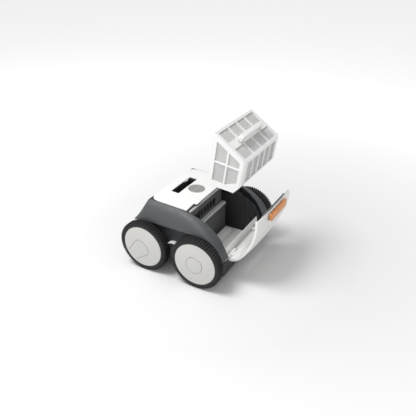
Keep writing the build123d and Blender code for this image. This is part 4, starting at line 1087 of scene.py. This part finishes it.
SOFTENED = (
    Softened("chassis_tray", CHASSIS_DARK, "chassis_dark", 0.8),
    Softened("bottom_plate", CHASSIS_DARK, "chassis_dark", 0.8),
    Softened("rear_shell", SHELL_GREY, "shell_blue_grey", 0.8),
    Softened("wheel_well_right", CHASSIS_DARK, "chassis_dark"),
    Softened("wheel_well_left", CHASSIS_DARK, "chassis_dark"),
    Softened("bay_liner_right", LINER_DARK, "liner_black", 0.5),
    Softened("bay_liner_left", LINER_DARK, "liner_black", 0.5),
    Softened("power_unit_housing", UNIT_DARK, "mid_grey", 0.8),
    Softened("power_unit_ledge", LEDGE_GREY, "mid_grey", 0.5),
    Softened("pump_cover", UNIT_DARK, "mid_grey", 0.6),
    Softened("top_panel", PANEL_WHITE, "panel_white", 0.9),
    Softened("hand_pocket", LINER_DARK, "liner_black", 0.5),
    Softened("lip_seal_rail", LEDGE_GREY, "mid_grey", 0.5),
    Softened("outlet_grille", GRILLE_GREY, "insert_grey", 0.4),
    Softened("floor_insert", FLOOR_GREY, "insert_grey", 0.8),
    Softened("intake_duct", INTAKE_LIGHT, "insert_grey", 0.7),
    Softened("intake_flap", LEDGE_GREY, "mid_grey", 0.4),
    Softened("front_sill", SILL_GREY, "lid_white", 0.8),
    Softened("lid_shell", LID_WHITE, "lid_white", 0.8),
    Softened("latch_lever", LATCH_ORANGE, "latch_orange", 0.6),
    Softened("basket_frame", BASKET_WHITE, "basket_white", 0.8),
    Softened("basket_door", BASKET_WHITE, "basket_white", 0.6),
    Softened("basket_clip", BASKET_WHITE, "basket_white", 0.5),
    Softened("gear_guards", GEAR_WHITE, "gear_white", 0.4),
    Softened("cable_gland", CHASSIS_DARK, "chassis_dark", 0.6),
)

KEPT: tuple[tuple[str, Finish], ...] = (
    ("body_screws", STEEL), ("wheel_axles", STEEL), ("lid_hinge_pins", STEEL), ("gland_nut", CHASSIS_DARK),
    ("outlet_duct", UNIT_DARK), ("pump_motor", MOTOR_METAL), ("control_board", BOARD_GREEN),
    ("drive_motors", MOTOR_METAL), ("impeller", GEAR_WHITE), ("pump_shaft", STEEL),
    ("pinion_right", GEAR_DARK), ("pinion_left", GEAR_DARK), ("lid_seal", SEAL_GREY),
    ("latch_pin", STEEL), ("handle_pins", STEEL), ("basket_mesh", MESH_GREY),
)


def main() -> None:
    """Load the frame, build every sub-assembly and report it."""
    logging.basicConfig(level=logging.INFO, format="%(message)s")
    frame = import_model()
    datum = Datum.from_axles()
    shop = Workshop(frame, Palette(), datum)
    Stage(datum).make()
    for side in Side:
        Wheel(side, "front", HubMark.ROUND).make(shop)
        Wheel(side, "rear", HubMark.SHIELD).make(shop)
        SideShell(side).make(shop)
    LidLiner().make(shop)
    CarryHandle().make(shop)
    for item in SOFTENED:
        shop.refine(item.node, f"{item.node}_moulding", item.finish, item.bevel)
    for node, finish in KEPT:
        shop.dress(node, finish)
    LOG.info("%d pieces built", shop.count)


if __name__ == "__main__":
    main()
